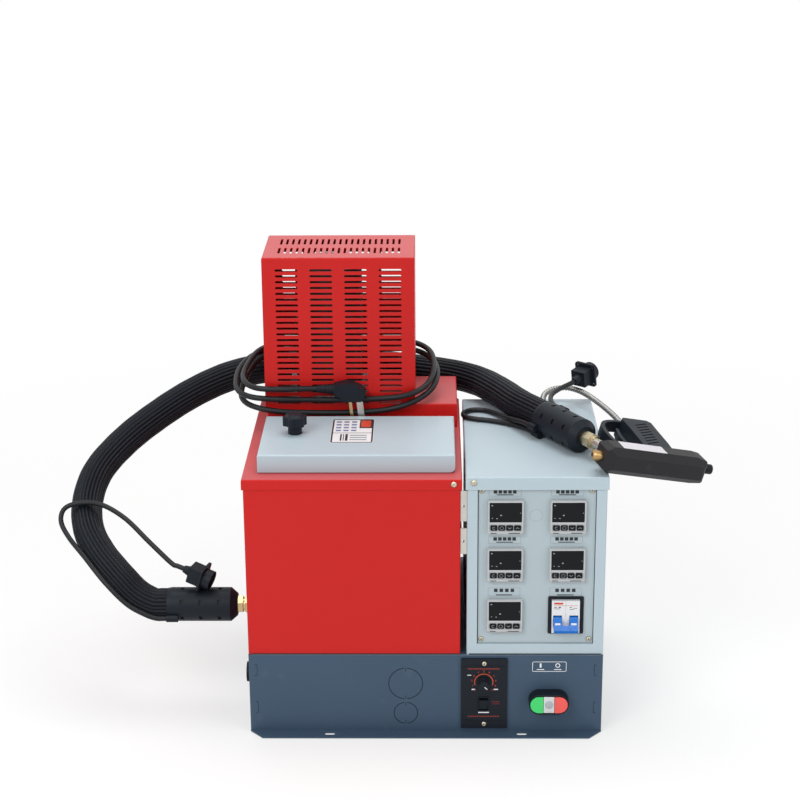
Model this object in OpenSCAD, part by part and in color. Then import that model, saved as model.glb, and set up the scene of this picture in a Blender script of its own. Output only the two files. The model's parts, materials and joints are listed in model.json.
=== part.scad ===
// Hot melt glue unit with a hinged tank lid, gear pump, heated hose and glue gun. Millimetres, +Z up.
// Origin on the floor at the centre of the base slots; the control side faces -Y.

/* [Base] */
// Width of the base
base_w = 480; // [420:560]
// Depth of the base without its flanges
base_d = 334; // [300:400]
// Height of the base
base_h = 115; // [90:140]
// Sheet thickness of the base
base_t = 2; // [1.5:0.5:3]
// Width of the front and rear bolting flanges
flange_w = 20; // [15:30]
// Corner chamfer of the flanges
flange_chamfer = 18; // [5:20]
// Distance between slots along X
slot_x = 262; // [200:320]
// Distance between slots along Y
slot_y = 353; // [330:380]
// Length of a slot
slot_l = 15; // [10:20]
// Width of a slot
slot_wd = 7; // [5:10]

/* [Cabinets] */
// Sheet thickness of the cabinets and covers
sheet = 1.5; // [1:0.25:2]
// Outer fold radius of the covers
fold_r = 2.5; // [2:0.5:4]
// Left side of the tank cabinet
tank_x0 = -240; // [-240:-200]
// Right side of the tank cabinet
tank_x1 = 47; // [20:60]
// Left side of the control cabinet
ctrl_x0 = 55.5; // [50:80]
// Right side of the control cabinet
ctrl_x1 = 240; // [200:240]
// Front plane of both cabinets
cab_y0 = -164; // [-167:-150]
// Back plane of the tank cabinet
tank_y1 = 165; // [150:167]
// Back plane of the control cabinet
ctrl_y1 = 152; // [140:167]
// Top of the tank cover
tank_top = 369.4; // [340:400]
// Top of the control cover
ctrl_top = 372.6; // [340:400]
// Lower edge of the cover skirts
skirt_z = 354.5; // [330:360]

/* [Lid] */
// Left side of the lid
lid_x0 = -222; // [-230:-200]
// Right side of the lid
lid_x1 = 40; // [30:44]
// Front of the lid
lid_y0 = -142; // [-150:-130]
// Back of the lid
lid_y1 = 15; // [0:20]
// Lower edge of the lid
lid_z0 = 370.4; // [370:372]
// Top of the lid
lid_z1 = 395; // [385:410]
// Distance of the hinge axis from the lid's lower right corner
hinge_r = 7; // [6:9]

/* [Motor cover] */
// Left side of the motor cover
mc_x0 = -224.6; // [-235:-210]
// Right side of the motor cover
mc_x1 = -14.3; // [-20:0]
// Front of the motor cover
mc_y0 = 37; // [30:45]
// Back of the motor cover
mc_y1 = 167; // [160:175]
// Lower edge of the motor cover
mc_z0 = 396; // [390:400]
// Top of the motor cover
mc_z1 = 616.7; // [560:660]
// Room between the motor and the top of its cover
motor_gap = 18.7; // [10:0.1:60]
// Top of the rear cover
rear_top = 404.5; // [400:410]
// Length of a vent slot
vent_l = 31; // [25:36]
// Width of a vent slot
vent_w = 3.4; // [2:0.1:5]
// Row pitch of the vent slots
vent_p = 8.33; // [7:10]
// Column pitch of the vent slots
vent_c = 47.7; // [45:50]
// Rows of vent slots
vent_n = 24; // [10:24]

/* [Drive] */
// Drive axis, X
drive_x = -136; // [-150:-120]
// Drive axis, Y
drive_y = 102; // [90:110]
// Teeth of each pump gear
teeth = 14; // [12:20]
// Distance between the pump gears
gear_c = 30; // [24:40]
// Pressure angle of the pump gears
gear_pa = 25; // [20:28]
// Flank relief of each pump gear
gear_relief = 0.1; // [0.05:0.05:0.3]
// Shaft radius
shaft_r = 6; // [5:8]

/* [Hose and gun] */
// Radius of the heated hose
hose_r = 22; // [15:30]
// Radius of the hose cuffs
cuff_r = 23.5; // [18:30]
// Length of the hose cuffs
cuff_l = 97; // [80:120]
// Radius of the leads
lead_r = 3.5; // [2:5]
// Radius of the steel conduit
conduit_r = 4.2; // [3:6]
// Length of the gun shell
gun_l = 151; // [140:200]
// Width of the gun shell
gun_w = 40; // [30:50]
// Thickness of the gun shell
gun_t = 38; // [30:50]
// Radius of the mains cord
cord_r = 4; // [3:5]

/* [Panel] */
// Width of a temperature controller
tc_w = 48; // [36:72]
// How far a temperature controller stands out of the panel
tc_proud = 6; // [4:10]
// Left column of controllers
tc_xa = 106.5; // [90:120]
// Right column of controllers
tc_xb = 189; // [170:200]
// Rows of controllers, from the top
tc_z = [315.6, 247, 173]; // [130:0.1:340]
// Front of the recessed panel
panel_y = -161; // [-163:-155]

/* [Hidden] */
$fn = 48;
hinge_x = lid_x1 - hinge_r;
hinge_z = lid_z0 + hinge_r;
hinge_y = [-105, -23];
front = -base_d / 2;
gun_at = [230.5, -153.5, 398];
gun_turn = [7, 14.3, 21];
nip_y = -87;
nip_z = 154.5;
cuff_x = -260;
out_a = [166.1, 2.2, 396.6];
out_d = [0.509, -0.861, 0];
out_n = [-0.861, -0.509, 0];
gear_m = gear_c / teeth;
pump_z = 165;
throw_z = 166;
deck_z = rear_top + 2.5;
motor_h = mc_z1 - motor_gap - deck_z - 63;
cav_a = [lid_x0 + 16, lid_y0 + 14];
cav_b = [lid_x1 - 24, lid_y1 - 15];
hose_pts = [[-357.3, -87, 154.5], [-366, -87, 154.5], [-376, -87, 154.8], [-400, -82, 166],
  [-427, -70, 190], [-455, -47, 214], [-475, -15, 236], [-482, 25, 262], [-471, 66, 294], [-438, 108, 324],
  [-394, 140, 352], [-344, 166, 378], [-292, 186, 397], [-243, 196, 406], [-185, 200, 411],
  [-130, 201, 412], [-70, 200, 410], [-13, 198, 404], [40, 192, 398], [79, 164, 396], [108, 113, 396.6],
  [133.1, 58, 396.6], [154.9, 21.1, 396.6], [161, 10.8, 396.6], [165.95, 2.46, 396.6]];
lead_pts = [[-357.3, -111.2, 143.6], [-364, -111.2, 143.6], [-371, -111.2, 143.8], [-385, -110.2, 148.5],
  [-411.4, -105.4, 162.3], [-442.3, -91.7, 188.5], [-474, -65, 216], [-500, -34, 232], [-513, -18, 250],
  [-508, -8, 266], [-484, -5, 273], [-455, -12, 272.5], [-420, -30, 259], [-384, -55, 234],
  [-351, -75, 210.2], [-342.2, -77.6, 207.4], [-334, -80.02, 204.7]];
loop_pts = [[144.25, -10.37, 389.6], [140.3, -3.7, 389.6], [136.2, 3.2, 389.2], [125, 23, 386],
  [112, 50, 380.6], [100, 75, 377.2], [85, 91, 376.4], [67, 93, 376.4], [55, 81, 376.4], [56, 64, 376.4],
  [70, 54.5, 376.4], [92, 47, 376.4], [113, 36, 376.5], [130, 21, 377.6], [141.9, 6.5, 378.2],
  [146, -0.4, 378.2], [149.94, -7.01, 378.2]];
lead2_pts = [[187.65, 15.29, 405.5], [183.7, 21.9, 405.5], [179.7, 28.8, 405.6], [176.5, 50, 406],
  [180, 74, 406.3], [192, 96, 407], [207, 113, 408.5], [214, 121, 409.4]];
conduit_pts = [[187.65, 15.29, 387.7], [183.7, 21.9, 387.7], [179.7, 28.8, 387.8], [172.5, 52, 388.4],
  [169, 78, 389.5], [169, 103, 390.4], [175, 126, 391.2], [189, 143, 391.8], [207, 144, 392.4],
  [221, 131, 393], [232, 110, 393.6], [243, 81, 394], [254, 48, 394], [263.6, 18, 392.8],
  [269.3, -0.4, 391.1], [271.95, -7.9, 390.2], [274.44, -15, 389.28]];
mains_pts = [[-60, 185.3, 60], [-60, 193, 60], [-60, 201, 60.2], [-60, 215, 63.5], [-60, 228, 73],
  [-60, 236, 89], [-60, 236, 112], [-60, 227, 145], [-60, 209, 195], [-60, 190, 245], [-60, 177.5, 295],
  [-60, 173.2, 345], [-60, 172.8, 385], [-63, 173, 412], [-77, 174, 434], [-102, 175.5, 446],
  [-140, 177, 448], [-185, 178.5, 444], [-220, 177, 438.5], [-243, 160, 432], [-256, 125, 423],
  [-262, 85, 412], [-258, 54, 406.5], [-241, 34, 402.5], [-208, 26.8, 398], [-165, 26.3, 396],
  [-110, 26.5, 396], [-60, 27, 399], [-22, 27.5, 409], [5, 43, 421], [16, 75, 430], [15, 118, 436],
  [3, 155, 439], [-19, 179, 440.5], [-55, 187.5, 441.5], [-110, 188.5, 442], [-180, 188, 440.5],
  [-225, 185.5, 439.5], [-252, 165, 437], [-267, 128, 431], [-270, 88, 424], [-264, 55, 419],
  [-244, 33.5, 416.8], [-210, 28.3, 415.3], [-160, 29, 414.2], [-110, 29, 414.2], [-60, 29, 416],
  [-25, 27, 421.5], [0, 40, 430], [11, 72, 439], [12, 112, 445], [5, 150, 449], [-15, 176, 452],
  [-52, 183.5, 455], [-110, 181, 456.5], [-180, 180, 454.5], [-217, 178.5, 450.5], [-242, 161, 446],
  [-254, 125, 440], [-259, 85, 434], [-253, 54, 431], [-234, 33, 429.7], [-200, 27.5, 430.2],
  [-172, 27, 431], [-162, 27, 431], [-152, 27, 431]];

function unit(v) = v / norm(v);
// Catmull-Rom curve through hand-chosen points
function cr(a, b, c, d, t) =
  0.5 * (2 * b + (c - a) * t + (2 * a - 5 * b + 4 * c - d) * t * t + (3 * b - a - 3 * c + d) * t * t * t);
function smooth(p, n) = let (m = len(p) - 1) concat(
  [for (i = [0 : m - 1], k = [0 : n - 1]) cr(p[max(i - 1, 0)], p[i], p[i + 1], p[min(i + 2, m)], k / n)],
  [p[m]]);
function tangents(p) = let (m = len(p) - 1) [for (i = [0 : m]) unit(p[min(i + 1, m)] - p[max(i - 1, 0)])];
function normals(t, n, i = 0) =
  i >= len(t) ? [] : let (v = unit(n - (n * t[i]) * t[i])) concat([v], normals(t, v, i + 1));
// Involute gear outline
function inv(a) = tan(a) - a * PI / 180;
function half_tooth(rho, r, rb) =
  90 / teeth - gear_relief / r * 180 / PI + (inv(gear_pa) - inv(acos(min(1, rb / rho)))) * 180 / PI;
function pol(r, a) = [r * cos(a), r * sin(a)];

module tube(points, r, sides, n0) {
  t = tangents(points);
  n = normals(t, n0);
  m = len(points);
  polyhedron(
    points = [for (i = [0 : m - 1], j = [0 : sides - 1])
      points[i] + r * (cos(360 * j / sides) * n[i] + sin(360 * j / sides) * cross(t[i], n[i]))],
    faces = concat(
      [[for (j = [0 : sides - 1]) j]],
      [for (i = [0 : m - 2], j = [0 : sides - 1])
        [i * sides + j, (i + 1) * sides + j, (i + 1) * sides + (j + 1) % sides]],
      [for (i = [0 : m - 2], j = [0 : sides - 1])
        [i * sides + j, (i + 1) * sides + (j + 1) % sides, i * sides + (j + 1) % sides]],
      [[for (j = [sides - 1 : -1 : 0]) (m - 1) * sides + j]]));
}

module rr(w, d, r) {
  square([w - 2 * r, d], center = true);
  square([w, d - 2 * r], center = true);
  for (sx = [-1, 1], sy = [-1, 1])
    translate([sx * (w / 2 - r), sy * (d / 2 - r)])
      circle(r);
}

module arch(w, h, r) {
  translate([-w / 2, 0])
    square([w, h - r]);
  translate([-w / 2 + r, 0])
    square([w - 2 * r, h]);
  for (s = [-1, 1])
    translate([s * (w / 2 - r), h - r])
      circle(r);
}

// Block from corner a to corner b with rounded vertical edges
module rbox(a, b, r) {
  translate([(a[0] + b[0]) / 2, (a[1] + b[1]) / 2, a[2]])
    linear_extrude(b[2] - a[2])
      rr(b[0] - a[0], b[1] - a[1], r);
}

// Block from corner a to corner b
module box(a, b) {
  translate(a)
    cube(b - a);
}

// Block with its edges along Y rounded
module ybox(a, b, r) {
  translate([(a[0] + b[0]) / 2, b[1], (a[2] + b[2]) / 2])
    rotate([90, 0, 0])
      linear_extrude(b[1] - a[1])
        rr(b[0] - a[0], b[2] - a[2], r);
}

// Block with its upper edges folded all round
module folded(a, b, r) {
  s = b - a;
  translate([(a[0] + b[0]) / 2, (a[1] + b[1]) / 2, a[2]])
    intersection() {
      translate([0, s[1] / 2, 0])
        rotate([90, 0, 0])
          linear_extrude(s[1])
            arch(s[0], s[2], r);
      translate([-s[0] / 2, 0, 0])
        rotate([90, 0, 90])
          linear_extrude(s[0])
            arch(s[1], s[2], r);
    }
}

// Sheet pan, open below
module pan(a, b) {
  difference() {
    folded(a, b, fold_r);
    folded([a[0] + sheet, a[1] + sheet, a[2] - 1], b - [sheet, sheet, sheet], fold_r - sheet);
  }
}

// Rod from point a to point b
module rod(a, b, r, r2 = -1) {
  d = b - a;
  translate(a)
    rotate([0, acos(d[2] / norm(d)), atan2(d[1], d[0])])
      cylinder(h = norm(d), r1 = r, r2 = r2 < 0 ? r : r2);
}

module ycyl(x, y0, y1, z, r) {
  translate([x, y1, z])
    rotate([90, 0, 0])
      cylinder(h = y1 - y0, r = r);
}

module slot2(l, w) {
  square([l - w, w], center = true);
  for (s = [-1, 1])
    translate([s * (l - w) / 2, 0])
      circle(w / 2);
}

module base_frame() {
  color([0.27, 0.33, 0.4])
  difference() {
    union() {
      rbox([-base_w / 2, front, 0], [base_w / 2, -front, base_h], 2);
      for (s = [-1, 1])
        linear_extrude(base_t)
          polygon([[-base_w / 2, s * (-front - 4)], [-base_w / 2, s * -front],
            [-base_w / 2 + flange_chamfer, s * (-front + flange_w)],
            [base_w / 2 - flange_chamfer, s * (-front + flange_w)],
            [base_w / 2, s * -front], [base_w / 2, s * (-front - 4)]]);
    }
    box([-base_w / 2 + base_t, front + base_t, base_t], [base_w / 2 - base_t, -front - base_t, base_h - base_t]);
    for (sx = [-1, 1], sy = [-1, 1])
      translate([sx * slot_x / 2, sy * slot_y / 2, -1])
        linear_extrude(base_t + 2)
          slot2(slot_l, slot_wd);
    box([55, front - 1, 18], [104, front + 3, 100]);
    ycyl(167, front - 1, front + 3, 50, 11.2);
    translate([-base_w / 2 - 1, -107, 61])
      rotate([0, 90, 0])
        cylinder(h = 4, r = 12.2);
    ycyl(-60, -front - 3, -front + 1, 60, 7.2);
    // Knockouts, held by two bridges each
    for (k = [[73, 23.5], [28.5, 16.5]])
      difference() {
        ycyl(-27, front - 1, front + 0.8, k[0], k[1]);
        ycyl(-27, front - 2, front + 2, k[0], k[1] - 0.9);
        box([-29, front - 2, k[0] - 30], [-25, front + 2, k[0] + 30]);
      }
    // Corner tabs
    for (s = [-1, 1], z = [37, 93]) {
      box([s * 228.5 - 0.4, front - 1, z - 8], [s * 228.5 + 0.4, front + 0.8, z + 8]);
      for (e = [-1, 1])
        box([s * 230 - 1.8, front - 1, z + e * 8 - 0.4], [s * 230 + 1.8, front + 0.8, z + e * 8 + 0.4]);
    }
  }
}

module speed_controller() {
  color([0.1, 0.1, 0.11])
  difference() {
    union() {
      ybox([48, front - 3, 6.8], [111, front, 111.4], 1.5);
      ybox([57, front - 3, 21], [102, front + 58, 97], 2);
      ybox([71.2, front - 4.5, 33.2], [86.2, front, 54.4], 1);
    }
    ycyl(79, front - 20, front + 14, 76.4, 3.08);
    ybox([72.3, front - 6, 34.4], [85.1, front + 12, 53.2], 0.5);
  }
}

module speed_knob() {
  color([0.08, 0.08, 0.09])
  difference() {
    union() {
      ycyl(79, front - 16, front - 6, 76.4, 7);
      ycyl(79, front - 6, front - 3.3, 76.4, 8);
      ycyl(79, front - 8, front + 12, 76.4, 3);
    }
    translate([79, front - 16, 76.4])
      rotate([0, 45, 0])
        box([1, -1, -0.6], [8, 0.7, 0.6]);
    for (k = [0 : 17])
      translate([79, 0, 76.4])
        rotate([0, k * 20, 0])
          ycyl(7.3, front - 17, front - 6.5, 0, 0.55);
  }
}

module speed_switch() {
  color([0.08, 0.08, 0.09])
  translate([72.6, front, 43.8])
    rotate([90, 0, 90])
      linear_extrude(12.2)
        union() {
          polygon([[-1, -8], [-1, 6.3], [-6.4, 6.4], [-4.3, -0.5], [-3, -8.4]]);
          circle(4);
        }
}

module button_housing() {
  color([0.09, 0.09, 0.1])
  difference() {
    union() {
      ybox([140, front - 18, 35], [194, front, 65], 14.99);
      ycyl(167, front - 1, front + 26, 50, 11);
      ybox([152, front + 8, 32], [182, front + 52, 68], 2);
    }
    ybox([141.4, front - 19, 37.7], [192.6, front - 7, 62.3], 12.29);
    for (x = [150, 184])
      ycyl(x, front - 8, front - 1, 50, 4.08);
  }
}

module half_button(x0, x1, stem) {
  intersection() {
    ybox([141.7, front - 19.5, 38], [192.3, front - 11.6, 62], 11.99);
    box([x0, front - 30, 30], [x1, front, 70]);
  }
  ycyl(stem, front - 12, front - 6.5, 50, 4);
}

module start_button() {
  color([0.1, 0.55, 0.25])
  half_button(140, 159.3, 150);
}

module stop_button() {
  color([0.75, 0.1, 0.12])
  half_button(174.7, 195, 184);
}

module pilot_lens() {
  color([0.8, 0.85, 0.85])
  intersection() {
    ybox([141.7, front - 18.4, 38], [192.3, front - 7, 62], 11.99);
    box([159.7, front - 30, 30], [174.3, front, 70]);
  }
}

module hose_socket() {
  color([0.08, 0.08, 0.09])
  translate([-base_w / 2, -107, 61])
    rotate([0, -90, 0])
      difference() {
        union() {
          cylinder(h = 4, r = 16.5);
          cylinder(h = 8.5, r = 14);
          translate([0, 0, -22])
            cylinder(h = 24, r = 12);
        }
        translate([0, 0, 5.5])
          cylinder(h = 30, r = 11);
      }
}

module tank_cabinet() {
  color([0.77, 0.16, 0.15])
  difference() {
    rbox([tank_x0, cab_y0, base_h], [tank_x1, tank_y1, tank_top - sheet - 0.2], 2.5);
    rbox([tank_x0 + sheet, cab_y0 + sheet, base_h + sheet], [tank_x1 - sheet, tank_y1 - sheet, tank_top], 1);
    rbox([tank_x0 + 14, cab_y0 + 14, base_h - 1], [tank_x1 - 14, tank_y1 - 14, base_h + 4], 4);
    translate([tank_x0 - 1, nip_y, nip_z])
      rotate([0, 90, 0])
        cylinder(h = 4, r = 11);
  }
}

module tank_top_cover() {
  color([0.77, 0.16, 0.15])
  difference() {
    pan([tank_x0 - 2, cab_y0 - 2, skirt_z], [tank_x1 + 2, tank_y1 + 2, tank_top]);
    box([cav_a[0], cav_a[1], tank_top - 5], [cav_b[0], cav_b[1], tank_top + 5]);
    translate([drive_x, drive_y, tank_top - 5])
      cylinder(h = 10, r = 20);
  }
}

module rear_cover() {
  color([0.77, 0.16, 0.15])
  difference() {
    pan([mc_x0 + 2.6, mc_y0 + 2, tank_top], [tank_x1 - 2, tank_y1, rear_top]);
    box([drive_x - 59, drive_y - 52, rear_top - 5], [drive_x + 59, drive_y + 52, rear_top + 5]);
  }
}

module motor_cover() {
  color([0.77, 0.16, 0.15])
  difference() {
    pan([mc_x0, mc_y0, mc_z0], [mc_x1, mc_y1, mc_z1]);
    box([mc_x1 - 3, mc_y0 + sheet, mc_z0 - 2], [mc_x1 + 1, mc_y1 - sheet, rear_top + 0.3]);
    box([mc_x1 - sheet, mc_y0 - 1, mc_z0 - 2], [mc_x1 + 1, mc_y1 + 1, rear_top + 0.3]);
    translate([(mc_x0 + mc_x1) / 2, mc_y1 + 2, mc_z1 - 18])
      rotate([90, 0, 0])
        linear_extrude(mc_y1 - mc_y0 + 4)
          for (i = [0 : 3], j = [0 : vent_n - 1])
            translate([(i - 1.5) * vent_c, -j * vent_p])
              slot2(vent_l, vent_w);
    translate([(mc_x0 + mc_x1) / 2, (mc_y0 + mc_y1) / 2, mc_z1 - 4])
      linear_extrude(8)
        for (i = [-10 : 10], s = [-1, 1])
          translate([i * vent_p, s * 25])
            rotate(90)
              slot2(vent_l, vent_w);
  }
}

module tank_lid() {
  color([0.75, 0.8, 0.82])
  union() {
    difference() {
      pan([lid_x0, lid_y0, lid_z0], [lid_x1, lid_y1, lid_z1]);
      box([lid_x1 - 3, lid_y0 + sheet, lid_z0 - 1], [lid_x1 + 1, lid_y1 - sheet, hinge_z]);
      difference() {
        box([hinge_x, lid_y0 - 1, lid_z0 - 1], [lid_x1 + 1, lid_y1 + 1, hinge_z]);
        ycyl(hinge_x, lid_y0 - 2, lid_y1 + 2, hinge_z, hinge_r);
      }
    }
    for (y = hinge_y) {
      for (s = [-1, 1]) {
        ycyl(hinge_x, y + s * 8 - 1, y + s * 8 + 1, hinge_z, 3.6);
        box([hinge_x - 3.6, y + s * 8 - 1, hinge_z], [hinge_x + 3.6, y + s * 8 + 1, lid_z1 - sheet / 2]);
      }
      ycyl(hinge_x, y - 9, y + 9, hinge_z, 1.6);
    }
  }
}

module lid_hinge_base() {
  color([0.7, 0.71, 0.72])
  for (y = hinge_y)
    difference() {
      union() {
        ycyl(hinge_x, y - 6.7, y + 6.7, hinge_z, 3.6);
        translate([0, y + 6.7, 0])
          rotate([90, 0, 0])
            linear_extrude(13.4)
              polygon([[hinge_x - 10, tank_top + 0.01], [hinge_x - 2.2, tank_top + 0.01],
                [hinge_x - 1, tank_top + 4], [hinge_x, hinge_z - 3.4], [hinge_x - 3.4, hinge_z]]);
        box([hinge_x - 15, y - 12, tank_top], [hinge_x - 2.2, y + 12, tank_top + 1.6]);
      }
      ycyl(hinge_x, y - 10, y + 10, hinge_z, 1.68);
    }
}

module lid_knob() {
  color([0.1, 0.09, 0.09])
  translate([-177, -56, lid_z1])
    union() {
      cylinder(h = 14, r = 9.5);
      translate([0, 0, 12])
        linear_extrude(13)
          union() {
            circle(13.6);
            for (k = [0 : 5])
              translate(pol(12, k * 60 + 15))
                circle(4.6);
          }
      translate([0, 0, 25])
        cylinder(h = 3, r1 = 12.5, r2 = 9);
    }
}

module melt_tank() {
  color([0.62, 0.63, 0.64])
  difference() {
    union() {
      rbox([cav_a[0] - 8, cav_a[1] - 8, base_h + 20], [cav_b[0] + 8, cav_b[1] + 8, tank_top - sheet - 0.3], 6);
      box([-186, 0, base_h + 20], [-70, 150, pump_z]);
      for (x = [-196, 6], y = [-118, -10])
        translate([x, y, base_h])
          cylinder(h = 30, r = 9);
      for (x = [-170, -86])
        translate([x, 138, base_h])
          cylinder(h = 30, r = 9);
    }
    box([cav_a[0], cav_a[1], pump_z + 13], [cav_b[0], cav_b[1], tank_top]);
    translate([-215, nip_y, nip_z])
      rotate([0, 90, 0])
        cylinder(h = 19, r = 8.1);
    translate([-200, nip_y, nip_z])
      rotate([0, 90, 0])
        cylinder(h = 60, r = 5);
    for (y = [-50, -20])
      translate([-100, y, nip_z])
        rotate([0, 90, 0])
          cylinder(h = 130, r = 6.3);
  }
}

module tank_heaters() {
  color([0.55, 0.53, 0.5])
  for (y = [-50, -20])
    translate([-99.7, y, nip_z])
      rotate([0, 90, 0])
        union() {
          cylinder(h = 130, r = 6.1);
          translate([0, 0, 123.9])
            cylinder(h = 4, r = 9);
        }
}

module pump_housing() {
  color([0.5, 0.5, 0.52])
  difference() {
    rbox([drive_x - 28, drive_y - 30, pump_z], [drive_x + gear_c + 28, drive_y + 30, pump_z + 32], 6);
    for (k = [0, gear_c])
      translate([drive_x + k, drive_y, pump_z - 1])
        cylinder(h = 25, r = gear_c / 2 + gear_m + 0.4);
    translate([drive_x, drive_y, pump_z])
      cylinder(h = 40, r = shaft_r + 0.1);
    translate([drive_x + gear_c, drive_y, pump_z])
      cylinder(h = 31, r = 5.1);
  }
}

module gear_outline() {
  r = gear_c / 2;
  rb = r * cos(gear_pa);
  rf = r - 1.25 * gear_m;
  ra = r + 0.95 * gear_m;
  step = [for (k = [0 : 4]) rb + 0.02 + (ra - rb - 0.02) * k / 4];
  polygon([for (t = [0 : teeth - 1], k = [0 : 11])
    let (a = t * 360 / teeth)
      k == 0 ? pol(rf, a - half_tooth(step[0], r, rb)) :
      k < 6 ? pol(step[k - 1], a - half_tooth(step[k - 1], r, rb)) :
      k < 11 ? pol(step[10 - k], a + half_tooth(step[10 - k], r, rb)) :
      pol(rf, a + half_tooth(step[0], r, rb))]);
}

module pump_shaft() {
  color([0.66, 0.67, 0.69])
  translate([drive_x, drive_y, pump_z + 0.3])
    union() {
      linear_extrude(23.4)
        gear_outline();
      cylinder(h = 100, r = shaft_r);
    }
}

module driven_gear() {
  color([0.66, 0.67, 0.69])
  translate([drive_x + gear_c, drive_y, pump_z + 0.3])
    union() {
      rotate(180 / teeth)
        linear_extrude(23.4)
          gear_outline();
      cylinder(h = 30, r = 5);
    }
}

module shaft_coupling() {
  color([0.42, 0.43, 0.45])
  translate([drive_x, drive_y, pump_z + 83])
    difference() {
      cylinder(h = 44, r = 17);
      translate([0, 0, -1])
        cylinder(h = 50, r = shaft_r + 0.05);
      translate([-10, -20, 21])
        cube([20, 12, 2]);
    }
}

module gearbox_shaft() {
  color([0.66, 0.67, 0.69])
  translate([drive_x, drive_y, pump_z + 107])
    cylinder(h = deck_z + 28 - pump_z - 107, r = shaft_r);
}

module motor_bracket() {
  color([0.3, 0.31, 0.33])
  translate([drive_x, drive_y, 0])
    difference() {
      union() {
        rbox([-58, -50, deck_z], [58, 50, deck_z + 8], 4);
        for (x = [-46, 46], y = [-40, 40])
          translate([x, y, tank_top])
            cylinder(h = deck_z + 2.4 - tank_top, r = 5);
      }
      translate([0, 0, deck_z - 7])
        cylinder(h = 20, r = 19);
    }
}

module gearbox() {
  color([0.3, 0.31, 0.33])
  translate([drive_x, drive_y, 0])
    difference() {
      union() {
        rbox([-45, -45, deck_z + 8], [45, 45, deck_z + 63], 8);
        translate([0, 0, deck_z + 2])
          cylinder(h = 10, r = 18);
      }
      translate([0, 0, deck_z - 7])
        cylinder(h = 38, r = shaft_r + 0.1);
    }
}

module gear_motor() {
  color([0.2, 0.21, 0.22])
  translate([drive_x, drive_y, deck_z + 63])
    union() {
      rbox([-45, -45, 0], [45, 45, 12], 8);
      cylinder(h = motor_h - 28, r = 44);
      for (z = [22 : 14 : motor_h - 50])
        translate([0, 0, z])
          cylinder(h = 6, r = 48);
      translate([0, 0, motor_h - 38])
        cylinder(h = 32, r = 47);
      translate([0, 0, motor_h - 6])
        cylinder(h = 6, r1 = 46, r2 = 38);
    }
}

module outlet_nipple() {
  color([0.75, 0.6, 0.32])
  translate([0, nip_y, nip_z])
    rotate([0, -90, 0])
      difference() {
        union() {
          translate([0, 0, 197])
            cylinder(h = 77, r = 8);
          translate([0, 0, 240.2])
            cylinder(h = 9, r = 13.5, $fn = 6);
          translate([0, 0, 249.2])
            cylinder(h = 3, r = 9.6);
          translate([0, 0, 252.2])
            cylinder(h = 7.5, r = 12.5, $fn = 6);
        }
        translate([0, 0, 190])
          cylinder(h = 90, r = 4.5);
      }
}

module cuff_body() {
  difference() {
    union() {
      cylinder(h = 9, r1 = 15.5, r2 = cuff_r);
      translate([0, 0, 9])
        cylinder(h = cuff_l - 15, r = cuff_r);
      translate([0, 0, cuff_l - 6])
        cylinder(h = 6, r1 = cuff_r, r2 = 22.4);
    }
    translate([0, 0, -1])
      cylinder(h = 16, r = 8.2);
    // Three rows of pry slots
    for (a = [0 : 60 : 300], z = [24, 50, 76])
      rotate(a)
        translate([cuff_r, 0, z])
          cube([4.4, 7, 4.4], center = true);
  }
}

module hose_inlet_cuff() {
  color([0.13, 0.14, 0.15])
  union() {
    translate([cuff_x, nip_y, nip_z])
      rotate([0, -90, 0])
        cuff_body();
    rod([cuff_x - cuff_l + 16, -111.2, 143.6], [cuff_x - cuff_l, -111.2, 143.6], 5);
  }
}

module heated_hose() {
  color([0.1, 0.11, 0.12])
  tube(smooth(hose_pts, 2), hose_r, 12, [0, 0, 1]);
}

module hose_outlet_cuff() {
  color([0.13, 0.14, 0.15])
  union() {
    translate(out_a + cuff_l * out_d)
      rotate([0, -90, atan2(out_d[1], out_d[0])])
        cuff_body();
    for (k = [[25.2, -7], [18.6, -18.4], [-25.2, 8.9], [-25.2, -8.9]])
      rod(out_a + k[0] * out_n + [0, 0, k[1]] + 16 * out_d, out_a + k[0] * out_n + [0, 0, k[1]], 5);
  }
}

module hose_nut() {
  color([0.75, 0.62, 0.36])
  translate(out_a + cuff_l * out_d)
    rotate([0, 90, atan2(out_d[1], out_d[0])])
      union() {
        translate([0, 0, -14])
          cylinder(h = 24, r = 8);
        translate([0, 0, 0.3])
          cylinder(h = 5, r = 10);
        translate([0, 0, 7])
          cylinder(h = 12, r = 11.5, $fn = 6);
        translate([0, 0, 18])
          cylinder(h = 6, r = 9);
      }
}

module hose_lead() {
  color([0.08, 0.08, 0.09])
  tube(smooth(lead_pts, 2), lead_r, 8, [0, 0, 1]);
}

module lead_socket(at, to) {
  d = to - at;
  translate(at)
    rotate([0, acos(d[2] / norm(d)), atan2(d[1], d[0])])
      difference() {
        union() {
          cylinder(h = 12, r1 = 5, r2 = 8);
          translate([-11.5, -11.5, 10])
            cube([23, 23, 18]);
          translate([0, 0, 28])
            linear_extrude(3.5)
              rr(34, 34, 3.5);
          translate([0, 0, 30])
            cylinder(h = 13, r = 13.5);
        }
        translate([0, 0, 40])
          cylinder(h = 10, r = 11.5);
        for (x = [-13, 13], y = [-13, 13])
          translate([x, y, 27])
            cylinder(h = 6, r = 1.8);
      }
}

module hose_lead_socket() {
  color([0.08, 0.08, 0.09])
  lead_socket([-333.7, -80.1, 204.6], [-300, -90, 193.6]);
}

module gun_leads() {
  color([0.08, 0.08, 0.09])
  union() {
    tube(smooth(loop_pts, 2), lead_r, 8, [0, 0, 1]);
    tube(smooth(lead2_pts, 2), lead_r, 8, [0, 0, 1]);
  }
}

module gun_lead_socket() {
  color([0.08, 0.08, 0.09])
  lead_socket([214.2, 121.2, 409.5], [238, 150, 415]);
}

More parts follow.
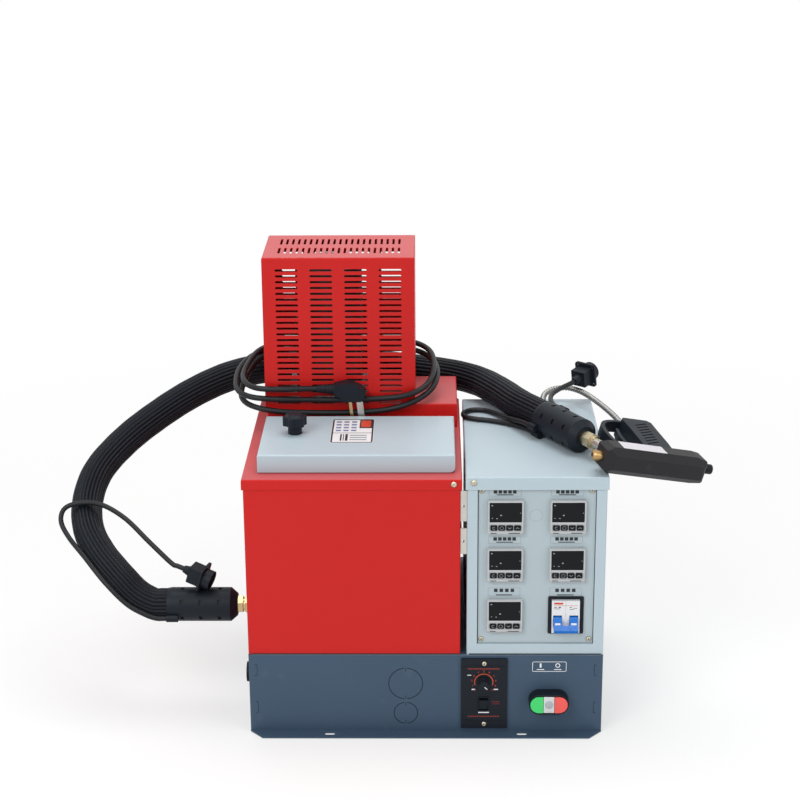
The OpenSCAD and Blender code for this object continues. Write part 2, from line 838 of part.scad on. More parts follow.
module gun_conduit() {
  color([0.65, 0.66, 0.66])
  tube(smooth(conduit_pts, 2), conduit_r, 8, [0, 0, 1]);
}

module at_gun() {
  translate(gun_at)
    rotate(gun_turn)
      children();
}

module inlet_rods(grow) {
  a = out_a + (cuff_l + 24.2) * out_d;
  rod(a, a + 41 * out_d, 7 + grow);
}

module gun_shell() {
  color([0.13, 0.12, 0.12])
  difference() {
    at_gun()
      difference() {
        intersection() {
          rotate([90, 0, 90])
            linear_extrude(gun_l)
              polygon([for (q = [[1, 1], [-1, 1], [-1, -1], [1, -1]], k = [0, 1])
                let (first = q[0] * q[1] > 0 ? k : 1 - k)
                  [q[0] * (gun_w / 2 - (first == 0 ? 0 : 9)), q[1] * (gun_t / 2 - (first == 0 ? 9 : 0))]]);
          translate([0, 0, -30])
            linear_extrude(60)
              polygon([[0, -11], [12, -gun_w / 2], [gun_l - 4, -gun_w / 2], [gun_l, -gun_w / 2 + 3],
                [gun_l, gun_w / 2 - 3], [gun_l - 4, gun_w / 2], [5, gun_w / 2], [0, 15]]);
          translate([0, 30, 0])
            rotate([90, 0, 0])
              linear_extrude(60)
                polygon([[0, -13], [9, -gun_t / 2], [gun_l - 14, -gun_t / 2], [gun_l, -gun_t / 2 + 3],
                  [gun_l, gun_t / 2 - 3], [gun_l - 14, gun_t / 2], [9, gun_t / 2], [0, 13]]);
        }
        translate([-1, 0, 0])
          rotate([0, 90, 0])
            cylinder(h = 14, r = 6.2);
        translate([gun_l - 9, 0, 0])
          rotate([0, 90, 0])
            cylinder(h = 14, r = 5.2);
      }
    inlet_rods(0.15);
  }
}

module gun_inlet() {
  color([0.66, 0.67, 0.68])
  inlet_rods(0);
}

module gun_nozzle() {
  color([0.75, 0.55, 0.28])
  at_gun()
    rotate([0, -90, 0])
      union() {
        translate([0, 0, -12])
          cylinder(h = 14, r = 6);
        translate([0, 0, 0.2])
          cylinder(h = 10, r = 7);
        translate([0, 0, 10])
          cylinder(h = 3, r1 = 7, r2 = 3.5);
      }
}

module gun_adjuster() {
  color([0.1, 0.1, 0.1])
  at_gun()
    translate([gun_l, 0, 0])
      rotate([0, 90, 0])
        union() {
          translate([0, 0, -8])
            cylinder(h = 18, r = 5);
          translate([0, 0, 8])
            cylinder(h = 10, r = 6.8);
        }
}

module gun_grip() {
  color([0.1, 0.1, 0.11])
  at_gun()
    difference() {
      union() {
        translate([0, 0, -13])
          linear_extrude(26)
            polygon([[73, gun_w / 2], [116, gun_w / 2], [119, 42], [122, 78], [125, 108], [120, 114], [83, 114],
              [79, 109], [78, 80], [75, 48]]);
        translate([0, 0, -8])
          linear_extrude(16)
            polygon(concat(
              smooth([[94, 114], [66, 113], [46, 102], [36, 79], [34, 46], [40, gun_w / 2]], 4),
              smooth([[46, gun_w / 2], [39.6, 46], [41.4, 77], [50, 98], [68, 107.4], [94, 108]], 4)));
        for (s = [-1, 1])
          translate([59, gun_w / 2, s * 8 - 2])
            cube([13, 13, 4]);
        translate([36, gun_w / 2, -8])
          cube([42, 2.4, 16]);
        translate([65, 28, -10])
          cylinder(h = 20, r = 2);
      }
      for (k = [0 : 7])
        translate([93 + k * 1.4, 36 + k * 8.6, 13])
          rotate(25)
            cube([24, 2.6, 2], center = true);
    }
}

module trigger() {
  color([0.09, 0.09, 0.1])
  at_gun()
    translate([0, 0, -5])
      linear_extrude(10)
        difference() {
          union() {
            polygon(concat(
              smooth([[69, 29], [62, 46], [62.5, 67], [68, 90]], 4),
              smooth([[64, 92], [57, 68], [56, 46], [61, 28]], 4)));
            translate([65, 28])
              circle(4.6);
          }
          translate([65, 28])
            circle(2.07);
        }
}

module control_cabinet() {
  color([0.75, 0.8, 0.82])
  difference() {
    union() {
      difference() {
        rbox([ctrl_x0, cab_y0, base_h], [ctrl_x1, ctrl_y1, ctrl_top - sheet - 0.2], 2.5);
        rbox([ctrl_x0 + sheet, cab_y0 + sheet, base_h + sheet], [ctrl_x1 - sheet, ctrl_y1 - sheet, ctrl_top], 1);
        rbox([ctrl_x0 + 14, cab_y0 + 14, base_h - 1], [ctrl_x1 - 14, ctrl_y1 - 14, base_h + 4], 4);
      }
      box([68, cab_y0 + 0.5, 129.5], [227.5, panel_y, 362]);
    }
    box([69.5, cab_y0 - 1, 131], [226, panel_y + 1, 360.5]);
  }
}

module control_top_cover() {
  color([0.75, 0.8, 0.82])
  pan([ctrl_x0 - 2, cab_y0 - 2, skirt_z], [ctrl_x1 + 2, ctrl_y1 + 2, ctrl_top]);
}

module control_panel() {
  color([0.74, 0.79, 0.81])
  difference() {
    box([64, panel_y, 124], [231.5, panel_y + sheet, 365]);
    for (p = [[tc_xa, tc_z[0]], [tc_xb, tc_z[0]], [tc_xa, tc_z[1]], [tc_xb, tc_z[1]], [tc_xa, tc_z[2]]])
      box([p[0] - 22.5, panel_y - 1, p[1] - 22.5], [p[0] + 22.5, panel_y + 3, p[1] + 22.5]);
    box([169.2, panel_y - 1, 148.7], [207.1, panel_y + 3, 196.3]);
  }
}

module controller(x, z) {
  color([0.62, 0.64, 0.65])
  difference() {
    union() {
      ybox([x - tc_w / 2, panel_y - tc_proud, z - tc_w / 2], [x + tc_w / 2, panel_y, z + tc_w / 2], 2);
      box([x - 22.2, panel_y - 1, z - 22.2], [x + 22.2, panel_y + 70, z + 22.2]);
    }
    ybox([x - 21.5, panel_y - tc_proud - 1, z - 6.5], [x + 21.5, panel_y - tc_proud + 1.2, z + 21.5], 1);
    ybox([x - 21.5, panel_y - tc_proud - 1, z - 20], [x + 21.5, panel_y - tc_proud + 0.8, z - 9], 1);
  }
}

module temperature_controller_1() { controller(tc_xa, tc_z[0]); }

module temperature_controller_2() { controller(tc_xb, tc_z[0]); }

module temperature_controller_3() { controller(tc_xa, tc_z[1]); }

module temperature_controller_4() { controller(tc_xb, tc_z[1]); }

module temperature_controller_5() { controller(tc_xa, tc_z[2]); }

module controller_overlays() {
  color([0.04, 0.04, 0.05])
  for (p = [[tc_xa, tc_z[0]], [tc_xb, tc_z[0]], [tc_xa, tc_z[1]], [tc_xb, tc_z[1]], [tc_xa, tc_z[2]]]) {
    ybox([p[0] - 21.3, panel_y - tc_proud + 0.2, p[1] - 6.3],
      [p[0] + 21.3, panel_y - tc_proud + 1.2, p[1] + 21.3], 0.9);
    for (k = [-1.5 : 1.5])
      ybox([p[0] + k * 10.4 - 4.7, panel_y - tc_proud - 0.2, p[1] - 18.2],
        [p[0] + k * 10.4 + 4.7, panel_y - tc_proud + 0.8, p[1] - 10.6], 1.5);
  }
}

module breaker_frame() {
  color([0.06, 0.06, 0.07])
  difference() {
    ybox([164.6, panel_y - 2, 145.7], [212.4, panel_y, 200.3], 2);
    box([169.2, panel_y - 5, 148.7], [207.1, panel_y + 5, 196.3]);
  }
}

module breaker() {
  color([0.85, 0.86, 0.86])
  difference() {
    union() {
      box([169.5, panel_y - 7, 149], [206.8, panel_y + 60, 196]);
      box([169.5, panel_y + 6, 130], [206.8, panel_y + 60, 215]);
    }
    for (x = [171.4, 193.1])
      translate([x, panel_y - 4, throw_z])
        rotate([0, 90, 0])
          cylinder(h = 11.8, r = 9.4);
    translate([171.4, panel_y - 4, throw_z])
      rotate([0, 90, 0])
        cylinder(h = 33.5, r = 2.7);
    box([188, panel_y - 8, throw_z + 6], [188.3, panel_y - 6.4, 195]);
  }
}

module breaker_handle() {
  color([0.12, 0.4, 0.75])
  translate([171.8, panel_y - 4, throw_z])
    rotate([35, 0, 0])
      union() {
        rotate([0, 90, 0])
          cylinder(h = 32.7, r = 2.4);
        for (x = [0, 21.7]) {
          translate([x, 0, 0])
            rotate([0, 90, 0])
              cylinder(h = 11, r = 6.8);
          box([x, -18, -3], [x + 11, 0, 3.4]);
        }
        box([0, -18, -3], [32.7, -9.5, 3]);
      }
}

module tie_brackets() {
  color([0.72, 0.74, 0.75])
  for (z = [[308, 351], [261, 298]])
    difference() {
      box([47.15, -160, z[0]], [55.35, -130, z[1]]);
      box([48.6, -158.5, z[0] - 1], [53.9, -125, z[1] + 1]);
      ycyl(50.6, -162, -157, (z[0] + z[1]) / 2, 1.7);
    }
}

module cord_gland() {
  color([0.09, 0.09, 0.1])
  difference() {
    union() {
      ycyl(-60, -front - 12, -front + 1, 60, 7);
      translate([-60, -front + 9, 60])
        rotate([90, 0, 0])
          cylinder(h = 9, r = 11, $fn = 6);
      ycyl(-60, -front + 9, -front + 18, 60, 8.5);
    }
    ycyl(-60, -front - 13, -front + 8, 60, 4.2);
  }
}

module mains_cord() {
  color([0.07, 0.07, 0.08])
  tube(smooth(mains_pts, 2), cord_r, 8, [1, 0, 0]);
}

module mains_plug() {
  color([0.08, 0.08, 0.09])
  union() {
    rod([-151.7, 27, 431], [-125, 27, 430.6], 5, 7.4);
    translate([0, 34.5, 0])
      rotate([90, 0, 0])
        linear_extrude(18.5)
          polygon([[-127, 423.4], [-119, 420.6], [-86.5, 420.6], [-82.6, 425], [-83, 429.4], [-92, 436.4],
            [-102, 441], [-108, 442], [-117, 440.4], [-127, 438]]);
    // Nose with the pins
    translate([0, 24.4, 0])
      rotate([90, 0, 0])
        linear_extrude(8.4)
          polygon([[-117, 417.4], [-114, 414.6], [-90, 414.6], [-85, 418.4], [-84, 423], [-119, 423]]);
  }
}

module plug_pins() {
  color([0.8, 0.78, 0.68])
  for (k = [[-107, 4.6], [-96, 9]])
    translate([k[0], 20.8, 0])
      rotate([90, 0, 0])
        linear_extrude(1.6)
          polygon([[2.4, 391], [2.4 + k[1], 391], [k[1], 414.3], [0, 414.3]]);
}

module head(x, y, z, r) {
  translate([x, y, z])
    rotate([90, 0, 0])
      difference() {
        union() {
          cylinder(h = 1.2, r = r);
          translate([0, 0, 1.2])
            cylinder(h = 1.2, r1 = r, r2 = r * 0.6);
        }
        for (a = [0, 90])
          rotate(a + 20)
            translate([-r * 0.55, -0.4, 1.6])
              cube([r * 1.1, 0.8, 2]);
      }
}

module screws() {
  color([0.75, 0.74, 0.7])
  union() {
    head(38, cab_y0 - 2, 362.6, 4);
    head(64.3, cab_y0 - 2, 364.7, 4);
    for (x = [75, 220], z = [137.5, 352])
      head(x, panel_y, z, 3.4);
    for (z = [13.5, 104.5])
      head(79.5, front - 3, z, 3.4);
  }
}

base_frame();
speed_controller();
speed_knob();
speed_switch();
button_housing();
start_button();
stop_button();
pilot_lens();
hose_socket();
cord_gland();
tank_cabinet();
tank_top_cover();
rear_cover();
motor_cover();
tank_lid();
lid_hinge_base();
lid_knob();
melt_tank();
tank_heaters();
pump_housing();
pump_shaft();
driven_gear();
shaft_coupling();
gearbox_shaft();
motor_bracket();
gearbox();
gear_motor();
outlet_nipple();
hose_inlet_cuff();
heated_hose();
hose_outlet_cuff();
hose_nut();
hose_lead();
hose_lead_socket();
gun_leads();
gun_lead_socket();
gun_conduit();
gun_shell();
gun_inlet();
gun_nozzle();
gun_adjuster();
gun_grip();
trigger();
control_cabinet();
control_top_cover();
control_panel();
temperature_controller_1();
temperature_controller_2();
temperature_controller_3();
temperature_controller_4();
temperature_controller_5();
controller_overlays();
breaker();
breaker_frame();
breaker_handle();
tie_brackets();
screws();
mains_cord();
mains_plug();
plug_pins();
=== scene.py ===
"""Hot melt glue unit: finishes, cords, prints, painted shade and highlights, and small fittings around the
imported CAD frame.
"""
import json
import math

import bpy
from mathutils import Matrix, Vector


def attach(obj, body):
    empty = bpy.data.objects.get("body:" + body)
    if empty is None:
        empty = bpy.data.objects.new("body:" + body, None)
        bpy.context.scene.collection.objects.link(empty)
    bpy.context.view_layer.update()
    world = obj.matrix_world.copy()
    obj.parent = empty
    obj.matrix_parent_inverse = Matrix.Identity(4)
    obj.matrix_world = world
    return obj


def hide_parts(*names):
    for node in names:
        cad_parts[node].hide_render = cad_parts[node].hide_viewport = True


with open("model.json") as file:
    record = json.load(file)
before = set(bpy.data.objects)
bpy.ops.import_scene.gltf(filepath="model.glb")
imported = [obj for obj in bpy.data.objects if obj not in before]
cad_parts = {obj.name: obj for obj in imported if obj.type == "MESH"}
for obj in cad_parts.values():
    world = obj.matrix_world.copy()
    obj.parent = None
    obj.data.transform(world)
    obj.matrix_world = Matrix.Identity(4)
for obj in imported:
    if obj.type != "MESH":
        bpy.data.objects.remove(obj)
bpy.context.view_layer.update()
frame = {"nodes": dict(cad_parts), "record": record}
nodes = frame["nodes"]
scene = bpy.context.scene
MM = 0.001
BODY = "frame"


# Finishes

CLOUD_DETAIL, SCUFF_DETAIL, GLOSS_DETAIL, GRAIN_DETAIL = 4.0, 8.0, 5.0, 2.0
SCUFF_SCALE, SCUFF_FROM, SCUFF_TO = 38.0, 0.62, 0.78
WORN_GREY, WORN_SHARE = 0.35, 0.6
UPWARD_FROM, UPWARD_TO = 0.7, 1.0
GLOSS_FINENESS = 7
GRAIN_DEPTH = 0.0003
COAT_ROUGHNESS = 0.12


def surface(name, color, rough, metallic=0.0, mottle=(6.0, 0.06), grain=(1200.0, 0.06), spread=0.06,
            stretch=(1.0, 1.0, 1.0), coat=0.0, scuff=0.0, specular=0.5, faded=None):
    """Procedural finish: colour mottle, uneven gloss, bump grain, optional scuffs and a painted sheen that
    pales upward faces.
    """
    material = bpy.data.materials.new(name)
    material.use_nodes = True
    tree = material.node_tree
    shader = tree.nodes["Principled BSDF"]
    link = tree.links.new
    where = tree.nodes.new("ShaderNodeTexCoord")
    mapping = tree.nodes.new("ShaderNodeMapping")
    mapping.inputs["Scale"].default_value = stretch
    link(where.outputs["Object"], mapping.inputs["Vector"])

    def noise(scale, detail):
        n = tree.nodes.new("ShaderNodeTexNoise")
        n.inputs["Scale"].default_value = scale
        n.inputs["Detail"].default_value = detail
        link(mapping.outputs["Vector"], n.inputs["Vector"])
        return n.outputs["Fac"]

    def mapped(value, start=(0.0, 1.0), end=(0.0, 1.0)):
        n = tree.nodes.new("ShaderNodeMapRange")
        n.inputs["From Min"].default_value, n.inputs["From Max"].default_value = start
        n.inputs["To Min"].default_value, n.inputs["To Max"].default_value = end
        link(value, n.inputs["Value"])
        return n.outputs["Result"]

    def over(under, tint, factor):
        """The colour tint laid over the socket under."""
        n = tree.nodes.new("ShaderNodeMix")
        n.data_type = "RGBA"
        n.inputs["B"].default_value = list(tint) + [1]
        link(under, n.inputs["A"])
        link(factor, n.inputs["Factor"])
        return n.outputs["Result"]

    mix = tree.nodes.new("ShaderNodeMix")
    mix.data_type = "RGBA"
    mix.inputs["A"].default_value = [c * (1 - mottle[1]) for c in color] + [1]
    mix.inputs["B"].default_value = [min(1.0, c * (1 + mottle[1])) for c in color] + [1]
    link(noise(mottle[0], CLOUD_DETAIL), mix.inputs["Factor"])
    out = mix.outputs["Result"]
    if scuff:
        worn = [WORN_GREY + WORN_SHARE * c for c in color]
        marks = noise(SCUFF_SCALE, SCUFF_DETAIL)
        out = over(out, worn, mapped(marks, (SCUFF_FROM, SCUFF_TO), (0.0, scuff)))
    # Painted sheen: faces that point up are mixed towards a paler colour, standing in for the sky reflected
    # on them.
    if faded:
        split = tree.nodes.new("ShaderNodeSeparateXYZ")
        link(where.outputs["Normal"], split.inputs["Vector"])
        out = over(out, faded, mapped(split.outputs["Z"], (UPWARD_FROM, UPWARD_TO)))
    link(out, shader.inputs["Base Color"])
    uneven = noise(mottle[0] * GLOSS_FINENESS, GLOSS_DETAIL)
    link(mapped(uneven, end=(rough - spread, rough + spread)), shader.inputs["Roughness"])
    bump = tree.nodes.new("ShaderNodeBump")
    bump.inputs["Strength"].default_value = grain[1]
    bump.inputs["Distance"].default_value = GRAIN_DEPTH
    link(noise(grain[0], GRAIN_DETAIL), bump.inputs["Height"])
    link(bump.outputs["Normal"], shader.inputs["Normal"])
    shader.inputs["Metallic"].default_value = metallic
    shader.inputs["Specular IOR Level"].default_value = specular
    shader.inputs["Coat Weight"].default_value = coat
    shader.inputs["Coat Roughness"].default_value = COAT_ROUGHNESS
    return material


FINISH = {}


def finish(name, color, rough, **more):
    """A finish kept under the name of the material slot that it stands for."""
    FINISH[name] = surface(name, color, rough, **more)


finish("slate_paint", (0.051, 0.088, 0.138), 0.50, grain=(1500, 0.10), scuff=0.04, specular=0.22)
# The red's upward faces get a paler pink as a painted sheen.
finish("red_paint", (0.560, 0.012, 0.010), 0.40, mottle=(4, 0.05), grain=(1500, 0.08), specular=0.22,
       faded=(0.545, 0.085, 0.090))
finish("grey_paint", (0.450, 0.548, 0.602), 0.38, mottle=(4, 0.03), grain=(1500, 0.08))
finish("black_plastic", (0.009, 0.013, 0.019), 0.48, grain=(2200, 0.12), specular=0.17)
finish("window_black", (0.006, 0.007, 0.009), 0.16, mottle=(30, 0.1), grain=(600, 0.0), spread=0.03,
       specular=0.15)
finish("bezel_grey", (0.50, 0.52, 0.53), 0.42, grain=(2500, 0.10))
finish("green_plastic", (0.030, 0.660, 0.140), 0.20, mottle=(60, 0.05), spread=0.03, coat=0.3)
finish("red_plastic", (0.860, 0.085, 0.070), 0.20, mottle=(60, 0.05), spread=0.03, coat=0.3)
finish("clear_lens", (0.64, 0.665, 0.675), 0.10, mottle=(90, 0.25), grain=(420, 0.5), spread=0.03)
finish("white_plastic", (0.76, 0.77, 0.78), 0.36, grain=(2500, 0.06))
finish("blue_plastic", (0.012, 0.170, 0.620), 0.24, mottle=(50, 0.05), spread=0.04)
finish("zinc", (0.58, 0.57, 0.52), 0.32, metallic=1.0, mottle=(60, 0.12), grain=(700, 0.08))
finish("steel", (0.52, 0.52, 0.53), 0.34, metallic=1.0, stretch=(1, 1, 12))
finish("cast_aluminium", (0.56, 0.57, 0.58), 0.48, metallic=1.0, grain=(420, 0.5))
finish("motor_paint", (0.05, 0.052, 0.055), 0.5, specular=0.25)
finish("brass", (0.56, 0.42, 0.22), 0.30, metallic=1.0, mottle=(80, 0.14), grain=(900, 0.06))
finish("hose_sleeve", (0.004, 0.006, 0.010), 0.46, mottle=(40, 0.25), grain=(900, 0.35), spread=0.1,
       specular=0.17)
finish("cable_rubber", (0.010, 0.011, 0.013), 0.42, mottle=(40, 0.15), grain=(1800, 0.1), specular=0.25)

GUN_BODY = surface("gun_body", (0.016, 0.016, 0.018), 0.48, mottle=(18, 0.15), grain=(1400, 0.2), scuff=0.04,
                   specular=0.22)
CONDUIT_STEEL = surface("conduit_steel", (0.26, 0.26, 0.25), 0.42, metallic=1.0, mottle=(60, 0.15))
PANEL_PAINT = surface("panel_paint", (0.420, 0.505, 0.540), 0.40, mottle=(4, 0.03), grain=(1500, 0.08),
                      specular=0.35)
BRONZE = surface("bronze", (0.46, 0.29, 0.13), 0.34, metallic=1.0, mottle=(80, 0.12))
PALE_BRASS = surface("pale_brass", (0.54, 0.46, 0.31), 0.30, metallic=1.0, mottle=(80, 0.14))
SCREW_ZINC = surface("screw_zinc", (0.55, 0.50, 0.38), 0.34, metallic=1.0, mottle=(60, 0.12))
# Painted highlight colour for the top fold of the base.
FOLD_PAINTED_HIGHLIGHT = surface("fold_painted_highlight", (0.24, 0.31, 0.38), 0.42, mottle=(30, 0.2), grain=(1500, 0.1))
TAG_PAPER = surface("tag_paper", (0.63, 0.61, 0.65), 0.34, mottle=(30, 0.05), grain=(2000, 0.04))
PAPER = surface("label_paper", (0.82, 0.83, 0.84), 0.32, mottle=(30, 0.03), grain=(2000, 0.04))


# Flat colours for print, and for painted shade in gaps, grooves, recesses and holes.
def ink_and_shade_film(name, color, rough=0.5, specular=0.2):
    return surface(name, color, rough, grain=(3000, 0.02), specular=specular)


DARK_INK_AND_SHADE = ink_and_shade_film("dark_ink_and_shade", (0.030, 0.034, 0.038))
GREY_INK_AND_SHADE = ink_and_shade_film("grey_ink_and_shade", (0.30, 0.34, 0.36))
SLATE_GROOVE_SHADE = ink_and_shade_film("slate_groove_shade", (0.012, 0.019, 0.030))
INK_BLUE = ink_and_shade_film("ink_blue", (0.17, 0.20, 0.36))
INK_WHITE = ink_and_shade_film("ink_white", (0.80, 0.82, 0.84), 0.45, 0.5)
INK_RED = ink_and_shade_film("ink_red", (0.62, 0.07, 0.035), 0.45)
INK_ORANGE = ink_and_shade_film("ink_orange", (0.62, 0.105, 0.03), 0.45)
INK_MAROON = ink_and_shade_film("ink_maroon", (0.34, 0.045, 0.030), 0.45)

slots = {s["node"]: s["material_slot"] for s in frame["record"]["subparts"]}
FINISH_OF_NODE = {"control_panel": PANEL_PAINT, "gun_shell": GUN_BODY, "gun_nozzle": BRONZE,
                  "screws": SCREW_ZINC, "hose_nut": PALE_BRASS}
SOFT_NODES = ("heated_hose", "hose_lead", "gun_leads", "gun_conduit", "mains_cord")

# Edge softening of the CAD nodes, in millimetres
BEVEL = {"base_frame": 0.9, "tank_cabinet": 0.4, "tank_top_cover": 0.4, "rear_cover": 0.4, "motor_cover": 0.3,
         "control_cabinet": 0.3, "control_top_cover": 0.4, "control_panel": 0.2, "gun_shell": 1.2,
         "gun_grip": 1.4, "gun_adjuster": 0.5, "speed_controller": 0.5, "button_housing": 0.8,
         "start_button": 1.0, "stop_button": 1.0, "pilot_lens": 0.5, "mains_plug": 2.0, "lid_knob": 0.8,
         "hose_inlet_cuff": 0.5, "hose_outlet_cuff": 0.5, "gun_lead_socket": 0.4, "hose_lead_socket": 0.4,
         "breaker": 0.4, "breaker_frame": 0.4, "breaker_handle": 0.5, "hose_nut": 0.4, "outlet_nipple": 0.4,
         "gun_nozzle": 0.4, "speed_switch": 0.4, "tie_brackets": 0.3, "plug_pins": 0.3, "trigger": 0.7,
         "tank_lid": 0.3, "hose_socket": 0.4}
WELD_M = 1e-5
FLAT_ANGLE, EDGE_ANGLE, EDGE_STEPS = 0.5, 32, 2


def dress(name, obj):
    """Finish of a CAD node, with softened edges where its size calls for them."""
    obj.data.materials.clear()
    obj.data.materials.append(FINISH_OF_NODE.get(name, FINISH[slots[name]]))
    for p in obj.data.polygons:
        p.use_smooth = True
    weld = obj.modifiers.new("weld", "WELD")
    weld.merge_threshold = WELD_M
    if name in BEVEL:
        flat = obj.modifiers.new("flat", "DECIMATE")
        flat.decimate_type = "DISSOLVE"
        flat.angle_limit = math.radians(FLAT_ANGLE)
        edge = obj.modifiers.new("edge", "BEVEL")
        edge.width = BEVEL[name] * MM
        edge.segments = EDGE_STEPS
        edge.limit_method = "ANGLE"
        edge.angle_limit = math.radians(EDGE_ANGLE)
        edge.use_clamp_overlap = True
        edge.harden_normals = False
    obj.modifiers.new("shade", "WEIGHTED_NORMAL").keep_sharp = False


for node_name, node_obj in nodes.items():
    if node_name not in SOFT_NODES:
        dress(node_name, node_obj)


# Mesh helpers; sizes are millimetres in the frame's own axes

TUBE_SMOOTH, LATHE_SMOOTH, LATHE_SIDES = 50, 35, 40
LEAST_ROUND = 0.05


def node_box(name):
    """Low and high corner of a CAD node, to the nearest micrometre."""
    obj = nodes[name]
    places = [obj.matrix_world @ v.co for v in obj.data.vertices]
    return [[round(pick(p[i] for p in places) / MM, 3) for i in range(3)] for pick in (min, max)]


def front(name):
    """The y of a CAD node's front."""
    return node_box(name)[0][1]


def top(name):
    """The z of a CAD node's top."""
    return node_box(name)[1][2]


def middle(name):
    """The x and z of a CAD node's middle, seen from the front."""
    low, high = node_box(name)
    return (low[0] + high[0]) / 2, (low[2] + high[2]) / 2


def piece(name, verts, faces, material, body=BODY, smooth=0):
    """A mesh that rides a body; smooth is the sharpest angle, in degrees, that is shaded smooth."""
    mesh = bpy.data.meshes.new(name)
    mesh.from_pydata([Vector(v) * MM for v in verts], [], faces)
    mesh.validate()
    mesh.materials.append(material)
    if smooth:
        for p in mesh.polygons:
            p.use_smooth = True
        mesh.set_sharp_from_angle(angle=math.radians(smooth))
    obj = bpy.data.objects.new(name, mesh)
    scene.collection.objects.link(obj)
    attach(obj, body)
    return obj


def ring_faces(rings, sides):
    """Faces of a skin over rings of points, with both ends closed."""
    faces = []
    for i in range(rings - 1):
        for j in range(sides):
            k = (j + 1) % sides
            faces.append((i * sides + j, i * sides + k, (i + 1) * sides + k, (i + 1) * sides + j))
    faces.append(tuple(range(sides))[::-1])
    faces.append(tuple(range((rings - 1) * sides, rings * sides)))
    return faces


def spline(points, n):
    """The source's Catmull-Rom curve through the route's points, n steps a span."""
    p = [Vector(q) for q in points]
    m = len(p) - 1
    out = []
    for i in range(m):
        a, b, c, d = p[max(i - 1, 0)], p[i], p[i + 1], p[min(i + 2, m)]
        for k in range(n):
            t = k / n
            out.append(0.5 * (2 * b + (c - a) * t + (2 * a - 5 * b + 4 * c - d) * t * t
                              + (3 * b - a - 3 * c + d) * t ** 3))
    return out + [p[m]]


def even(points, step):
    """The same polyline with points at an even spacing."""
    total = sum((b - a).length for a, b in zip(points, points[1:]))
    count = max(2, round(total / step))
    out, at, left = [points[0]], 0, 0.0
    for k in range(1, count):
        want = total * k / count
        while left + (points[at + 1] - points[at]).length < want:
            left += (points[at + 1] - points[at]).length
            at += 1
        seg = points[at + 1] - points[at]
        out.append(points[at] + seg * ((want - left) / seg.length))
    return out + [points[-1]]


def tube(name, centres, radius, sides, material, start_normal=(0, 0, 1)):
    """Swept tube; radius is a number or a function of (angle, distance along)."""
    m = len(centres)
    verts = []
    normal, run = Vector(start_normal), 0.0
    for i, c in enumerate(centres):
        t = (centres[min(i + 1, m - 1)] - centres[max(i - 1, 0)]).normalized()
        normal = (normal - normal.dot(t) * t).normalized()
        side = t.cross(normal)
        if i:
            run += (c - centres[i - 1]).length
        for j in range(sides):
            a = 2 * math.pi * j / sides
            r = radius(a, run) if callable(radius) else radius
            verts.append(c + r * (math.cos(a) * normal + math.sin(a) * side))
    return piece(name, verts, ring_faces(m, sides), material, smooth=TUBE_SMOOTH)


def lathe(name, origin, axis, profile, material, sides=LATHE_SIDES):
    """Solid of revolution; profile is (distance along the axis, radius), from one end to the other."""
    axis = Vector(axis).normalized()
    u = axis.orthogonal().normalized()
    w = axis.cross(u)
    verts = []
    for h, r in profile:
        for j in range(sides):
            a = 2 * math.pi * j / sides
            verts.append(Vector(origin) + h * axis + r * (math.cos(a) * u + math.sin(a) * w))
    piece(name, verts, ring_faces(len(profile), sides), material, smooth=LATHE_SMOOTH)


